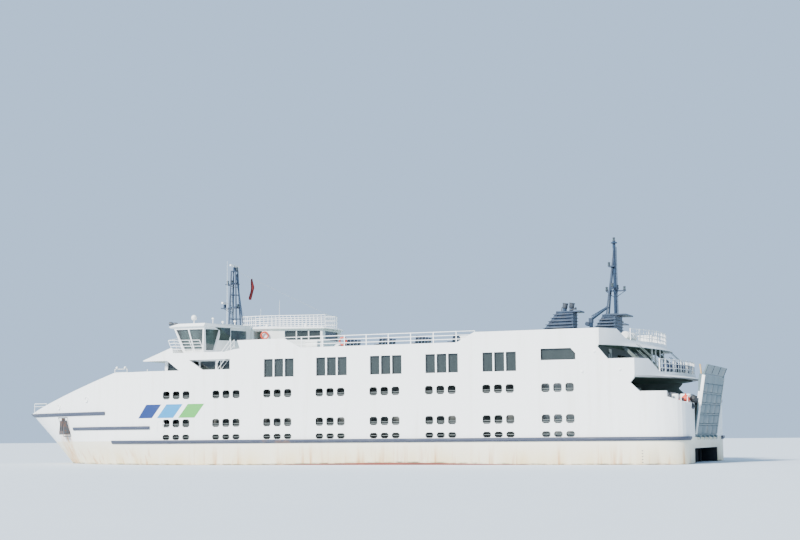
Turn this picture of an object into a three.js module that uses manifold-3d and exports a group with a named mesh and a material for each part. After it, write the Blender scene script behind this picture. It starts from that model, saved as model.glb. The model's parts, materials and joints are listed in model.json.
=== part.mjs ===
// A drive-on ro-ro passenger ferry with a stern ramp, modelled at 1:2.
// Frame: +X to the bow, +Y to port, +Z up; the origin is amidships on the centreline at the waterline.
// Every length below is in metres on the full-size ship, and SCALE turns it into millimetres of the model.
import * as THREE from "three";
import { mergeVertices } from "three/addons/utils/BufferGeometryUtils.js";
import Module from "manifold-3d";

const wasm = await Module();
wasm.setup();

const SCALE = 500;
const GAP = 0.0008; // between pieces that touch

// Main dimensions
const HALF_BEAM = 8.8;
const BOW_X = 30.2;
const TRANSOM_X = -30.2;
const VEHICLE_DECK_Z = 1.9;
const PASSENGER_DECK_Z = 6.35;
const SUN_DECK_Z = 8.75;
const DECK_PLATE = 0.15;
const KNUCKLE_Z = 4.35;
const BULWARK_Z = 7.48;
const SIDE_WALL = 0.22;
const BULWARK_WALL = 0.15;
const QUARTER = { long: 3.0, deep: 1.6 }; // the stern corners in plan, a quarter of an ellipse
const SHOULDER_X = 12; // the sides are flat aft of here

// Hull lines: height, foot of the stem, start of the bow's curve, half breadth, aft end,
// and the two powers that shape the curve
const HULL_LINES = [
  { z: -3.0, stem: 21.4, shoulder: 3.0, half: 7.3, aft: -14.0, power: 1.9, nose: 1.5 },
  { z: -2.2, stem: 23.3, shoulder: 5.5, half: 8.6, aft: -19.0, power: 1.8, nose: 1.4 },
  { z: -1.2, stem: 24.5, shoulder: 7.5, half: 8.8, aft: -24.5, power: 1.7, nose: 1.35 },
  { z: -0.4, stem: 25.3, shoulder: 9.0, half: 8.8, aft: TRANSOM_X, power: 1.6, nose: 1.3 },
  { z: 1.9, stem: 27.6, shoulder: SHOULDER_X, half: 8.8, aft: TRANSOM_X, power: 1.5, nose: 1.2 },
  { z: KNUCKLE_Z, stem: BOW_X, shoulder: 12.5, half: 8.8, aft: TRANSOM_X, power: 1.3, nose: 1.12 },
];
// The fore bulwark falls in a straight line from here to the tip
const SLOPE_TOP = { x: 16.85, z: BULWARK_Z };

// Rubbing strakes: height of the lower and upper edge, fore and aft ends
const STRAKE_OUT = 0.16;
const STRAKES = {
  bow: { z0: 4.05, z1: KNUCKLE_Z, aft: 17.95 },
  middle: { z0: 2.83, z1: 3.1, fore: 22.6, aft: 12.65 },
  main: { z0: 1.68, z1: 1.96, fore: 17.0, sternHalf: 6.4 },
};

// Side openings, in groups of three: the first group's fore edge, the spacing, and the rows' heights
const GROUPS = 8;
const GROUP_X = 11.4;
const GROUP_SPACING = 4.49;
const OPENING = { width: 0.63, pitch: 0.9, corner: 0.12, perGroup: 3 };
const OPENING_ROWS = [
  { z0: 1.99, z1: 2.4 },
  { z0: 2.975, z1: 3.605 },
  { z0: 5.205, z1: 5.835 },
];
const BIG_WINDOW = { firstGroup: 2, lastGroup: 6, z0: 6.78, z1: 8.19, pane: 0.78, pitch: 0.9, shift: -0.05 };

const colour = (hex, roughness = 0.6, metalness = 0) =>
  new THREE.MeshStandardMaterial({ color: hex, roughness, metalness });
const WHITE = colour(0xf3f4f2);
const CREAM = colour(0xe9e2cf);
const BLUE = colour(0x56617d);
const DECK_GREEN = colour(0x6f8578, 0.8);
const GLASS = colour(0x55636e, 0.15);
const STEEL = colour(0x8fa0a8, 0.5, 0.4);
const DARK = colour(0x3b3f44, 0.6);
const FUNNEL_BLUE = colour(0x3e5a7e);
const BRONZE = colour(0xa9793a, 0.35, 0.8);

// Solids
function solidOf(geometry) {
  const plain = geometry.index ? geometry.toNonIndexed() : geometry.clone();
  plain.deleteAttribute("normal");
  plain.deleteAttribute("uv");
  const merged = mergeVertices(plain, 1e-5);
  const mesh = new wasm.Mesh({
    numProp: 3,
    vertProperties: merged.attributes.position.array,
    triVerts: new Uint32Array(merged.index.array),
  });
  return new wasm.Manifold(mesh);
}

function geometryOf(solid) {
  const mesh = solid.getMesh();
  const geometry = new THREE.BufferGeometry();
  geometry.setAttribute("position", new THREE.BufferAttribute(new Float32Array(mesh.vertProperties), 3));
  geometry.setIndex(new THREE.BufferAttribute(new Uint32Array(mesh.triVerts), 1));
  return geometry;
}

const union = (solids) => solids.reduce((whole, next) => whole.add(next));
const cut = (solid, tools) => tools.reduce((rest, tool) => rest.subtract(tool), solid);

function box(x0, x1, y0, y1, z0, z1) {
  const geometry = new THREE.BoxGeometry(x1 - x0, y1 - y0, z1 - z0);
  geometry.translate((x0 + x1) / 2, (y0 + y1) / 2, (z0 + z1) / 2);
  return solidOf(geometry);
}

function extrusion(points, depth) {
  const shape = new THREE.Shape(points.map(([a, b]) => new THREE.Vector2(a, b)));
  return new THREE.ExtrudeGeometry(shape, { depth, bevelEnabled: false });
}

// A plan outline of (x, y) points between two heights
function plan(points, z0, z1) {
  return solidOf(extrusion(points, z1 - z0).translate(0, 0, z0));
}

// A side profile of (x, z) points between two breadths
function profile(points, y0, y1) {
  return solidOf(extrusion(points, y1 - y0).rotateX(Math.PI / 2).translate(0, y1, 0));
}

// An outline of (y, z) points seen from astern between two stations along the ship
function across(points, x0, x1) {
  const turn = new THREE.Matrix4().makeBasis(
    new THREE.Vector3(0, 1, 0),
    new THREE.Vector3(0, 0, 1),
    new THREE.Vector3(1, 0, 0),
  );
  return solidOf(extrusion(points, x1 - x0).applyMatrix4(turn).translate(x0, 0, 0));
}

// A plate in the side's plane with openings cut through it
function pierced(points, openings, y0, y1) {
  return cut(profile(points, y0, y1), openings.map((opening) => profile(opening, y0 - 1, y1 + 1)));
}

// A round bar between two points; four sides make it a square one
function bar(from, to, diameter, sides = 8) {
  const a = new THREE.Vector3(...from);
  const b = new THREE.Vector3(...to);
  const along = b.clone().sub(a);
  const turned = sides === 4 ? Math.PI / 4 : 0;
  const radius = sides === 4 ? diameter / Math.SQRT2 : diameter / 2;
  const geometry = new THREE.CylinderGeometry(radius, radius, along.length(), sides).rotateY(turned);
  const turn = new THREE.Quaternion().setFromUnitVectors(new THREE.Vector3(0, 1, 0), along.normalize());
  geometry.applyQuaternion(turn);
  geometry.translate((a.x + b.x) / 2, (a.y + b.y) / 2, (a.z + b.z) / 2);
  return solidOf(geometry);
}

// A solid through rings of (x, y, z) points, all equally long, lowest first and anticlockwise from above.
// The second half of each ring mirrors the first, and its faces are split the mirrored way.
// Rings standing upright across the ship run from port to the centreline, flattened to (x, z).
const levelRing = ([x, y]) => new THREE.Vector2(x, y);
const uprightRing = ([x, , z]) => new THREE.Vector2(x, z);
function loft(rings, flattened = levelRing) {
  const count = rings[0].length;
  const position = rings.flat(2);
  const index = [];
  for (let k = 0; k + 1 < rings.length; k++) {
    for (let i = 0; i < count; i++) {
      const a = k * count + i;
      const b = k * count + ((i + 1) % count);
      if (i > (count - 1) / 2) index.push(a, b, b + count, a, b + count, a + count);
      else index.push(a, b, a + count, b, b + count, a + count);
    }
  }
  const capOf = (ring) => THREE.ShapeUtils.triangulateShape(ring.map(flattened), []);
  for (const [a, b, c] of capOf(rings[0])) index.push(a, c, b);
  const top = (rings.length - 1) * count;
  for (const [a, b, c] of capOf(rings.at(-1))) index.push(top + a, top + b, top + c);
  const geometry = new THREE.BufferGeometry();
  geometry.setAttribute("position", new THREE.Float32BufferAttribute(position, 3));
  geometry.setIndex(index);
  return solidOf(geometry);
}

const mirrored = (solid) => solid.mirror([0, 1, 0]);

// Hull lines
function linesAt(z) {
  const rows = HULL_LINES;
  const above = rows.findIndex((row) => row.z >= z);
  if (above < 0) return { ...rows.at(-1), z };
  if (above === 0) return { ...rows[0], z };
  const low = rows[above - 1];
  const high = rows[above];
  const share = (z - low.z) / (high.z - low.z);
  const mix = (key) => low[key] + share * (high[key] - low[key]);
  return Object.fromEntries(Object.keys(low).map((key) => [key, key === "z" ? z : mix(key)]));
}

// A ring of (x, y) points from its port half, which starts on the centreline
const bothSides = (port) => [...port, ...port.slice(1).reverse().map(([x, y]) => [x, -y])];

// The plan outline at a height, anticlockwise from the stem, moved out by "out"
const BOW_STEPS = 12;
const QUARTER_STEPS = 8;
function outlineAt(z, out = 0) {
  const { stem, shoulder, half, aft, power, nose } = linesAt(z);
  const port = [];
  for (let k = 0; k <= BOW_STEPS; k++) {
    const t = 1 - (k / BOW_STEPS) ** 1.6;
    port.push([shoulder + t * (stem + out - shoulder), (half + out) * (1 - t ** power) ** (1 / nose)]);
  }
  const { long, deep } = QUARTER;
  for (let k = 0; k <= QUARTER_STEPS; k++) {
    const angle = (k / QUARTER_STEPS) * (Math.PI / 2);
    port.push([
      aft + long - (long + out) * Math.sin(angle),
      half - deep + (deep + out) * Math.cos(angle),
    ]);
  }
  return bothSides(port);
}
const ringAt = (z, out = 0) => outlineAt(z, out).map(([x, y]) => [x, y, z]);

// Hull below the vehicle deck, with the recess under the ramp's sill and the propeller shafts
const RECESS = { half: 4.7, fore: -28.9, top: 1.1 };
const SHAFT = { y: 4.0, z: -2.2, fore: -16, aft: -24.9, tube: 0.34 };
const HULL_TOP_RINGS = [STRAKES.main.z0, VEHICLE_DECK_Z];
function hull() {
  const heights = [...HULL_LINES.map((row) => row.z).filter((z) => z < 1), ...HULL_TOP_RINGS];
  const body = loft(heights.map((z) => ringAt(z)));
  const recess = box(TRANSOM_X - 1, RECESS.fore, -RECESS.half, RECESS.half, -4, RECESS.top);
  const shafts = [1, -1].flatMap((side) => {
    const y = side * SHAFT.y;
    return [
      bar([SHAFT.fore, y, SHAFT.z], [SHAFT.aft, y, SHAFT.z], SHAFT.tube),
      bar([SHAFT.aft + 0.4, y, SHAFT.z], [SHAFT.aft + 0.9, y + side * 0.8, -0.9], 0.22, 4),
      bar([SHAFT.aft + 0.4, y, SHAFT.z], [SHAFT.aft + 0.9, y - side * 0.8, -0.9], 0.22, 4),
      bar([RUDDER.x, y, -0.5], [RUDDER.x, y, RUDDER.boss], 0.4),
    ];
  });
  return union([cut(body, [recess]), ...shafts, ...rampLugs()]);
}

// Lugs on the transom, one on each side of every knuckle of the ramp
const KNUCKLES = { y: [-3.4, -1.7, 0, 1.7, 3.4], half: 0.15, lug: 0.12, radius: 0.09 };
function rampLugs() {
  const { half, lug, radius } = KNUCKLES;
  const { x, z } = RAMP.hinge;
  return KNUCKLES.y.flatMap((middle) => [1, -1].flatMap((side) => {
    const near = middle + side * (half + GAP);
    const far = near + side * lug;
    const [y0, y1] = [near, far].sort((a, b) => a - b);
    const arm = box(x, TRANSOM_X + 0.05, y0, y1, z - radius, z + radius);
    return [bar([x, y0, z], [x, y1, z], 2 * radius), arm];
  }));
}

// Bow above the vehicle deck: solid ahead of the collision bulkhead, hollow over the vehicle deck
const COLLISION_BULKHEAD_X = 21;
const WELL_FORE_X = 21.2;
function bowShell() {
  const heights = [VEHICLE_DECK_Z + GAP, STRAKES.main.z1, STRAKES.middle.z0, STRAKES.middle.z1];
  const rings = [...heights, STRAKES.bow.z0, KNUCKLE_Z].map((z) => ringAt(z));
  const top = outlineAt(KNUCKLE_Z).map(([x, y]) => [x, y, BULWARK_Z]);
  const body = loft([...rings, top]);
  const rise = (SLOPE_TOP.z - KNUCKLE_Z) / (BOW_X - SLOPE_TOP.x);
  const overSlope = profile(
    [[SLOPE_TOP.x, SLOPE_TOP.z], [BOW_X + 2, KNUCKLE_Z - 2 * rise], [BOW_X + 2, 9], [SLOPE_TOP.x, 9]],
    -10,
    10,
  );
  const aft = box(-40, SHOULDER_X + GAP, -10, 10, 0, 10);
  const inside = outlineAt(VEHICLE_DECK_Z, -SIDE_WALL);
  const space = plan(inside, VEHICLE_DECK_Z - 1, PASSENGER_DECK_Z - DECK_PLATE)
    .intersect(box(0, COLLISION_BULKHEAD_X, -10, 10, 0, 10));
  const well = plan(outlineAt(KNUCKLE_Z, -BULWARK_WALL), PASSENGER_DECK_Z, 10)
    .intersect(box(0, WELL_FORE_X, -10, 10, 0, 10));
  return cut(body, [overSlope, aft, space, well]);
}

// An opening with cut corners in the ship's side, as an outline of (x, z)
function roundedOpening(fore, aft, z0, z1, corner) {
  return [
    [aft, z0 + corner], [aft + corner, z0], [fore - corner, z0], [fore, z0 + corner],
    [fore, z1 - corner], [fore - corner, z1], [aft + corner, z1], [aft, z1 - corner],
  ];
}

function openings() {
  const list = [];
  for (const { z0, z1 } of OPENING_ROWS) {
    for (let group = 0; group < GROUPS; group++) {
      for (let k = 0; k < OPENING.perGroup; k++) {
        const fore = GROUP_X - group * GROUP_SPACING - k * OPENING.pitch;
        list.push(roundedOpening(fore, fore - OPENING.width, z0, z1, OPENING.corner));
      }
    }
  }
  return list;
}

// Lower side, from the vehicle deck to the passenger deck
const SIDE_AFT = {
  x: -27.2, mooringTop: 5.15, notch: { x: -26.55, z: 5.78 }, deckX: -26.85, deckUnder: 6.12,
};
function lowerSide() {
  const top = PASSENGER_DECK_Z - GAP;
  const outline = [
    [SIDE_AFT.x + GAP, VEHICLE_DECK_Z + GAP],
    [SHOULDER_X, VEHICLE_DECK_Z + GAP],
    [SHOULDER_X, top],
    [SIDE_AFT.deckX, top],
    [SIDE_AFT.deckX, SIDE_AFT.deckUnder],
    [SIDE_AFT.notch.x, SIDE_AFT.notch.z],
    [SIDE_AFT.x + GAP, SIDE_AFT.mooringTop],
  ];
  return pierced(outline, openings(), HALF_BEAM - SIDE_WALL, HALF_BEAM);
}

// Stern quarter: the curved wall between the side and the ramp, with the mooring platform behind it
const MOORING_DECK_Z = 4.0;
const RAMP_HALF = 4.165;
function quarter() {
  const inner = RAMP_HALF + 0.25;
  const outer = plan(outlineAt(VEHICLE_DECK_Z), VEHICLE_DECK_Z + GAP, SIDE_AFT.mooringTop);
  const wallInside = plan(outlineAt(VEHICLE_DECK_Z, -SIDE_WALL), 0, 9);
  const part = box(-40, SIDE_AFT.x, inner, 10, 0, 9);
  const stepDown = profile([[-29.05, 9], [-29.05, 4.75], [-30.2, 4.35], [-32, 4.35], [-32, 9]], 0, 10);
  const wall = outer.intersect(part).subtract(wallInside).subtract(stepDown);
  const platform = wallInside
    .intersect(box(-40, SIDE_AFT.x, inner, 10, MOORING_DECK_Z - DECK_PLATE, MOORING_DECK_Z));
  const cheekTop = MOORING_DECK_Z + 0.35;
  const cheek = box(TRANSOM_X, SIDE_AFT.x, inner, inner + SIDE_WALL, VEHICLE_DECK_Z + GAP, cheekTop);
  return union([wall, platform, cheek]);
}

// Rubbing strakes
function strakeRing(z0, z1, out) {
  const middle = (z0 + z1) / 2;
  const outer = loft([ringAt(z0, out * 0.4), ringAt(middle, out), ringAt(z1, out)]);
  const heights = [z0, VEHICLE_DECK_Z, z1].filter((z) => z >= z0 && z <= z1);
  const inner = loft([z0 - 0.05, ...heights, z1 + 0.05].map((z) => ringAt(z, 2 * GAP)));
  return outer.subtract(inner);
}
function bowStrake() {
  const { z0, z1, aft } = STRAKES.bow;
  return strakeRing(z0, z1, STRAKE_OUT).intersect(box(aft, 40, -10, 10, 0, 9));
}
function middleStrake() {
  const { z0, z1, fore, aft } = STRAKES.middle;
  return strakeRing(z0, z1, STRAKE_OUT).intersect(box(aft, fore, 0, 10, 0, 9));
}
function mainStrake() {
  const { z0, z1, fore, sternHalf } = STRAKES.main;
  return strakeRing(z0, z1, STRAKE_OUT).intersect(box(-40, fore, sternHalf, 10, 0, 9));
}

// Stern edges of the two decks: a bulwark at the sides that falls to a low coaming across the stern, over a
// fascia that slopes out to a lip. The outer face curves as centre + y * y / curve between the stations of
// (breadth, height of the top).
const EDGE = { wall: 0.2, overhang: 0.5, lipHalf: 7, lip: 0.05 };
const SUN_EDGE = {
  centre: -27.15, curve: 27.8, fore: -24.3, knee: 8.75, foot: 8.5, low: { side: 8.53, centre: 8.35 },
  tops: [
    [HALF_BEAM, 9.72], [8.0, 9.72], [7.2, 9.72], [6.8, 9.43], [6.28, 9.06], [5.66, 8.93],
    [4.5, 8.93], [3.0, 8.93], [1.5, 8.93], [0, 8.93],
  ],
};
const PASSENGER_EDGE = {
  centre: -29.27, curve: 32.4, fore: SIDE_AFT.deckX, knee: 6.4, foot: 6.17, low: { side: 6.3, centre: 6.16 },
  tops: [
    [HALF_BEAM, 7.5], [8.3, 7.5], [7.4, 7.5], [6.75, 7.05], [6.1, 6.6],
    [5.2, 6.6], [3.9, 6.6], [2.6, 6.6], [1.3, 6.6], [0, 6.6],
  ],
};
function edgeAt({ centre, curve, tops }, y) {
  const curveAt = (breadth) => centre + breadth ** 2 / curve;
  const next = Math.max(1, tops.findIndex(([breadth]) => breadth <= y));
  const [far, near] = [tops[next - 1][0], tops[next][0]];
  return curveAt(near) + ((y - near) / (far - near)) * (curveAt(far) - curveAt(near));
}
function sternEdge(edge) {
  const { fore, knee, foot, low, tops } = edge;
  const sections = tops.map(([y, top]) => {
    const x = edgeAt(edge, y);
    const bulge = Math.max(0, 1 - (y / EDGE.lipHalf) ** 2);
    const lipX = x - EDGE.overhang * bulge;
    const lipZ = low.side + (low.centre - low.side) * bulge;
    const inside = x + EDGE.wall;
    const outline = [
      [inside, top], [x, top], [x, knee], [lipX, lipZ + EDGE.lip], [lipX, lipZ], [inside, foot],
    ];
    return outline.map(([px, pz]) => [px, y, pz]);
  });
  const port = loft(sections, uprightRing);
  return union([port, mirrored(port)]).intersect(box(-40, fore - GAP, -10, 10, 0, 20));
}

// Decks
function deckOutline(fore, half, edge) {
  const aft = [half, ...edge.tops.map(([y]) => y).filter((y) => y < half)];
  const port = [[fore, half], ...aft.map((y) => [edgeAt(edge, y) + EDGE.wall + GAP, y])];
  return [...port, ...port.slice(0, -1).reverse().map(([x, y]) => [x, -y])];
}
const FRAME = { fore: 9, spacing: GROUP_SPACING, count: 8, width: 0.25, depth: 0.35 };
function passengerDeck() {
  const top = PASSENGER_DECK_Z - GAP;
  const half = HALF_BEAM - SIDE_WALL - GAP;
  const slab = plan(deckOutline(SHOULDER_X, half, PASSENGER_EDGE), top - DECK_PLATE, top);
  const beams = [];
  for (let k = 0; k < FRAME.count; k++) {
    const x = FRAME.fore - 0.2 - k * FRAME.spacing;
    beams.push(box(x - FRAME.width, x, -half, half, top - DECK_PLATE - FRAME.depth, top - 0.05));
  }
  return union([slab, ...beams]);
}
const SUN_DECK_PLATE = 0.2;
function sunDeck() {
  const half = HALF_BEAM - BULWARK_WALL - GAP;
  const outline = deckOutline(HOUSE.fore - GAP, half, SUN_EDGE);
  return plan(outline, SUN_DECK_Z - SUN_DECK_PLATE, SUN_DECK_Z);
}

// Upper side with the lounge windows and the bulwark of the sun deck
const CATWALK_AFT_X = 6.0;
const UPPER_SIDE = [
  [SHOULDER_X, PASSENGER_DECK_Z], [SHOULDER_X, BULWARK_Z], [5.37, BULWARK_Z], [5.37, 8.29],
  [CATWALK_AFT_X - GAP, 8.29], [CATWALK_AFT_X - GAP, 8.85], [5.11, 9.01], [4.49, 9.09], [4.72, 9.73],
  [0.6, 9.75], [-0.8, 9.0], [-13.6, 9.0], [-14.96, 9.72],
  [SUN_EDGE.fore, 9.72], [SUN_EDGE.fore, 8.5], [-24.25, 8.37], [-24.97, 7.5],
  [PASSENGER_EDGE.fore, 7.5], [PASSENGER_EDGE.fore, PASSENGER_DECK_Z],
];
const STAIR_WINDOW = [[-20.03, 7.5], [-20.03, 8.34], [-22.27, 8.34], [-22.62, 7.95], [-22.62, 7.5]];
function panes() {
  const list = [];
  const { firstGroup, lastGroup, shift, pane, pitch, z0, z1 } = BIG_WINDOW;
  for (let group = firstGroup; group <= lastGroup; group++) {
    for (let k = 0; k < 3; k++) {
      const fore = GROUP_X - group * GROUP_SPACING + shift - k * pitch;
      list.push([[fore, z0], [fore, z1], [fore - pane, z1], [fore - pane, z0]]);
    }
  }
  return list;
}
function upperSide() {
  const holes = [...panes(), STAIR_WINDOW];
  return pierced(UPPER_SIDE, holes, HALF_BEAM - BULWARK_WALL, HALF_BEAM);
}
const GLASS_PLATE = 0.04;
function sideGlass() {
  const y = HALF_BEAM - BULWARK_WALL - 2 * GAP;
  const fore = GROUP_X - BIG_WINDOW.firstGroup * GROUP_SPACING + 0.2;
  return box(-22.9, fore, y - GLASS_PLATE, y, BIG_WINDOW.z0 - 0.15, SUN_DECK_Z - SUN_DECK_PLATE - GAP);
}

// What is left of a solid above a height, so that raking feet end flat
const above = (solid, z) => solid.intersect(box(-40, 40, -12, 12, z, z + 40));

// A railing along a path of (x, y) points: a top rail, middle rails and posts, all square
const RAIL = { bar: 0.05, post: 0.064, middle: 2, spacing: 1.8 };
function railing(path, z, height) {
  const bars = [];
  const bays = RAIL.middle + 1;
  const levels = Array.from({ length: bays }, (_, k) => z + (height * (k + 1)) / bays);
  const half = RAIL.post / 2;
  for (let i = 0; i + 1 < path.length; i++) {
    const [from, to] = [path[i], path[i + 1]];
    const length = Math.hypot(to[0] - from[0], to[1] - from[1]);
    for (const level of levels) {
      const end = level - RAIL.post / 2;
      bars.push(bar([...from, end], [...to, end], RAIL.bar, 4));
    }
    const posts = Math.max(1, Math.round(length / RAIL.spacing));
    for (let k = i ? 1 : 0; k <= posts; k++) {
      const x = from[0] + ((to[0] - from[0]) * k) / posts;
      const y = from[1] + ((to[1] - from[1]) * k) / posts;
      bars.push(box(x - half, x + half, y - half, y + half, z + GAP, z + height));
    }
  }
  return union(bars);
}

// Fore canopy over the lounge front, rising to a crest, with a diagonal strut to each bulwark
const CANOPY = { under: 8.29, top: 8.88, tip: { x: 13.31, z: 8.34 }, crest: { x: 10.73, z: 9.3 } };
const STRUT = { footAft: 7.81, footFore: 9.95, headAft: 9.08, headFore: 11.07 };
function canopy() {
  const { under, top, tip, crest } = CANOPY;
  const outline = [
    [CATWALK_AFT_X, under], [tip.x - 0.1, under], [tip.x, tip.z],
    [crest.x, crest.z], [crest.x - 0.12, crest.z], [crest.x - 0.24, top], [CATWALK_AFT_X, top],
  ];
  const blade = profile(outline, -HALF_BEAM, HALF_BEAM);
  const [foot, head] = [BULWARK_Z + GAP, under + 0.02];
  const strut = profile(
    [[STRUT.footAft, foot], [STRUT.footFore, foot], [STRUT.headFore, head], [STRUT.headAft, head]],
    HALF_BEAM - BULWARK_WALL,
    HALF_BEAM,
  );
  return union([blade, strut, mirrored(strut)]);
}

// Lounge front: a wall across the ship with glazed returns to the side walls, and its glass
const LOUNGE = { front: 11.6, returnAft: 5.3, half: 8.2, wall: 0.15, aft: -23.9 };
function loungeFrontShape(inset, wall, z0) {
  const z1 = CANOPY.under - GAP;
  const half = LOUNGE.half - inset;
  const front = LOUNGE.front - inset;
  const outer = box(LOUNGE.returnAft, front, -half, half, z0, z1);
  const inner = box(LOUNGE.returnAft - 1, front - wall, -half + wall, half - wall, z0 - 1, z1 + 1);
  return outer.subtract(inner);
}
const FRONT_WINDOW = { count: 10, first: -7.6, pitch: 1.55, width: 1.25, z0: 6.95, z1: 8.2 };
const RETURN_WINDOW = { count: 4, first: 5.5, pitch: 1.49, width: 1.38 };
function loungeFront() {
  const { z0, z1 } = FRONT_WINDOW;
  const windows = [];
  for (let k = 0; k < FRONT_WINDOW.count; k++) {
    const y = FRONT_WINDOW.first + k * FRONT_WINDOW.pitch;
    windows.push(box(LOUNGE.front - 1, LOUNGE.front + 1, y, y + FRONT_WINDOW.width, z0, z1));
  }
  for (let k = 0; k < RETURN_WINDOW.count; k++) {
    const x = RETURN_WINDOW.first + k * RETURN_WINDOW.pitch;
    windows.push(box(x, x + RETURN_WINDOW.width, -10, 10, z0, z1));
  }
  return cut(loungeFrontShape(0, LOUNGE.wall, PASSENGER_DECK_Z + GAP), windows);
}
const loungeFrontGlass = () => loungeFrontShape(LOUNGE.wall + GAP, GLASS_PLATE, PASSENGER_DECK_Z + GAP);

// Lounge aft wall with two doorways and five windows, and a door hung in each doorway
const AFT_WINDOW = { ys: [-7.4, -1.9, -0.6, 0.7, 6.2], width: 1.2, z0: 7.2, z1: 8.1 };
const DOORWAY = { y: 4.2, width: 0.9, z0: PASSENGER_DECK_Z + 0.12, z1: PASSENGER_DECK_Z + 2.1 };
function loungeAft() {
  const half = HALF_BEAM - BULWARK_WALL - GAP;
  const top = SUN_DECK_Z - SUN_DECK_PLATE - GAP;
  const wall = box(LOUNGE.aft - LOUNGE.wall, LOUNGE.aft, -half, half, PASSENGER_DECK_Z + GAP, top);
  const holes = [];
  for (const side of [1, -1]) {
    const y = side * DOORWAY.y;
    holes.push(box(-30, -20, y - DOORWAY.width / 2, y + DOORWAY.width / 2, DOORWAY.z0, DOORWAY.z1));
  }
  for (const y of AFT_WINDOW.ys) {
    holes.push(box(-30, -20, y, y + AFT_WINDOW.width, AFT_WINDOW.z0, AFT_WINDOW.z1));
  }
  const barrels = doorBarrels(true, 0.08);
  return union([cut(wall, holes), ...barrels, ...barrels.map(mirrored)]);
}
const DOOR = { thick: 0.06, clear: 0.012, barrel: 0.05, hinges: [0.3, 1.6], barrelLength: 0.12 };
const DOOR_HINGE = { x: LOUNGE.aft - LOUNGE.wall - 0.03, y: DOORWAY.y + DOORWAY.width / 2 };
function doorBarrels(lower, reach) {
  const { x, y } = DOOR_HINGE;
  return DOOR.hinges.flatMap((height) => {
    const z0 = DOORWAY.z0 + height + (lower ? 0 : DOOR.barrelLength + GAP);
    const z1 = z0 + DOOR.barrelLength;
    const [y0, y1] = [y, y + reach].sort((a, b) => a - b);
    return [bar([x, y, z0], [x, y, z1], DOOR.barrel), box(x - 0.02, x + 0.035, y0, y1, z0, z1)];
  });
}
function loungeDoor() {
  const { y, width, z0, z1 } = DOORWAY;
  const x = LOUNGE.aft - LOUNGE.wall;
  const half = width / 2 - DOOR.clear;
  const leaf = box(x, x + DOOR.thick, y - half, y + half, z0 + DOOR.clear, z1 - DOOR.clear);
  const light = box(x - 1, x + 1, y - 0.2, y + 0.2, z1 - 0.75, z1 - 0.3);
  return union([leaf.subtract(light), ...doorBarrels(false, -0.08)]);
}

// Wheelhouse across the ship, widening upwards, with its window band. Its rings run from the centreline
// forward, by the wing's two corners, to the wall it shares with the deckhouse.
const BRIDGE = { z0: CANOPY.top + GAP, z1: 10.93, wall: 0.1 };
const BRIDGE_FOOT = { middle: 10.1, front: 9.98, shoulder: 7.8, corner: 9.85, aft: 8.07, half: 8.2 };
const BRIDGE_HEAD = { middle: 10.97, front: 10.75, shoulder: 8.25, corner: 10.5, aft: 7.71, half: 8.75 };
const HOUSE = { fore: 6.0, aft: 0.55, foreHalf: 3.85, aftHalf: 1.85, wall: 0.12, top: 10.93 };
const BRIDGE_REAR = { x: HOUSE.fore + GAP, half: 4.2 };
function bridgeRing(z, inset) {
  const share = (z - BRIDGE.z0) / (BRIDGE.z1 - BRIDGE.z0);
  const mix = (key) => BRIDGE_FOOT[key] + share * (BRIDGE_HEAD[key] - BRIDGE_FOOT[key]);
  const ring = bothSides([
    [mix("middle") - inset, 0],
    [mix("front") - inset, mix("shoulder") - inset],
    [mix("corner") - inset, mix("half") - inset],
    [mix("aft") + inset, mix("half") - inset],
    [BRIDGE_REAR.x + inset, BRIDGE_REAR.half],
  ]);
  return ring.map(([x, y]) => [x, y, z]);
}
const bridgeShape = (inset, z0, z1) => loft([bridgeRing(z0, inset), bridgeRing(z1, inset)]);
const bridgeInside = (inset) => bridgeShape(inset, BRIDGE.z0 + BRIDGE.wall, BRIDGE.z1 + 1);
const BRIDGE_WINDOW = { z0: 9.1, z1: 10.75, width: 1.02, pitch: 1.17, count: 13, aftZ0: 9.9 };
// Panes in the wings' ends, by their aft and fore edges at foot and head
const END_PANES = [
  { foot: [8.17, 8.84], head: [7.87, 9.12] },
  { foot: [8.94, 9.72], head: [9.22, 10.3] },
];
// Panes in the wings' aft walls, by their outer edge at foot and head, their inner edge and their sill.
// The middle of the wings divides these walls from the wheelhouse front.
const WING_MIDDLE = 8.6;
const AFT_PANES = [
  { foot: 8.05, head: 8.58, near: 7.32, sill: BRIDGE_WINDOW.z0 },
  { foot: 7.22, head: 7.22, near: 6.22, sill: BRIDGE_WINDOW.aftZ0 },
  { foot: 6.12, head: 6.12, near: 4.5, sill: BRIDGE_WINDOW.aftZ0 },
];
const BRIDGE_PASSAGE = { aft: 5.5, fore: 6.6, half: 1.0, z0: BRIDGE.z0 + 0.1, z1: 10.8 };
function bridgeWalls() {
  const { z0, z1, width, pitch, count } = BRIDGE_WINDOW;
  const shell = bridgeShape(0, BRIDGE.z0, BRIDGE.z1).subtract(bridgeInside(BRIDGE.wall));
  const passage = BRIDGE_PASSAGE;
  const holes = [box(passage.aft, passage.fore, -passage.half, passage.half, passage.z0, passage.z1)];
  for (let k = 0; k < count; k++) {
    const y = (k - (count - 1) / 2) * pitch;
    holes.push(box(WING_MIDDLE, 12, y - width / 2, y + width / 2, z0, z1));
  }
  for (const { foot, head } of END_PANES) {
    holes.push(profile([[foot[0], z0], [foot[1], z0], [head[1], z1], [head[0], z1]], -10, 10));
  }
  for (const { foot, head, near, sill } of AFT_PANES) {
    const outline = [[near, sill], [foot, sill], [head, z1], [near, z1]];
    const pane = across(outline, BRIDGE_REAR.x + 0.1, WING_MIDDLE);
    holes.push(pane, mirrored(pane));
  }
  return cut(shell, holes);
}

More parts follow.
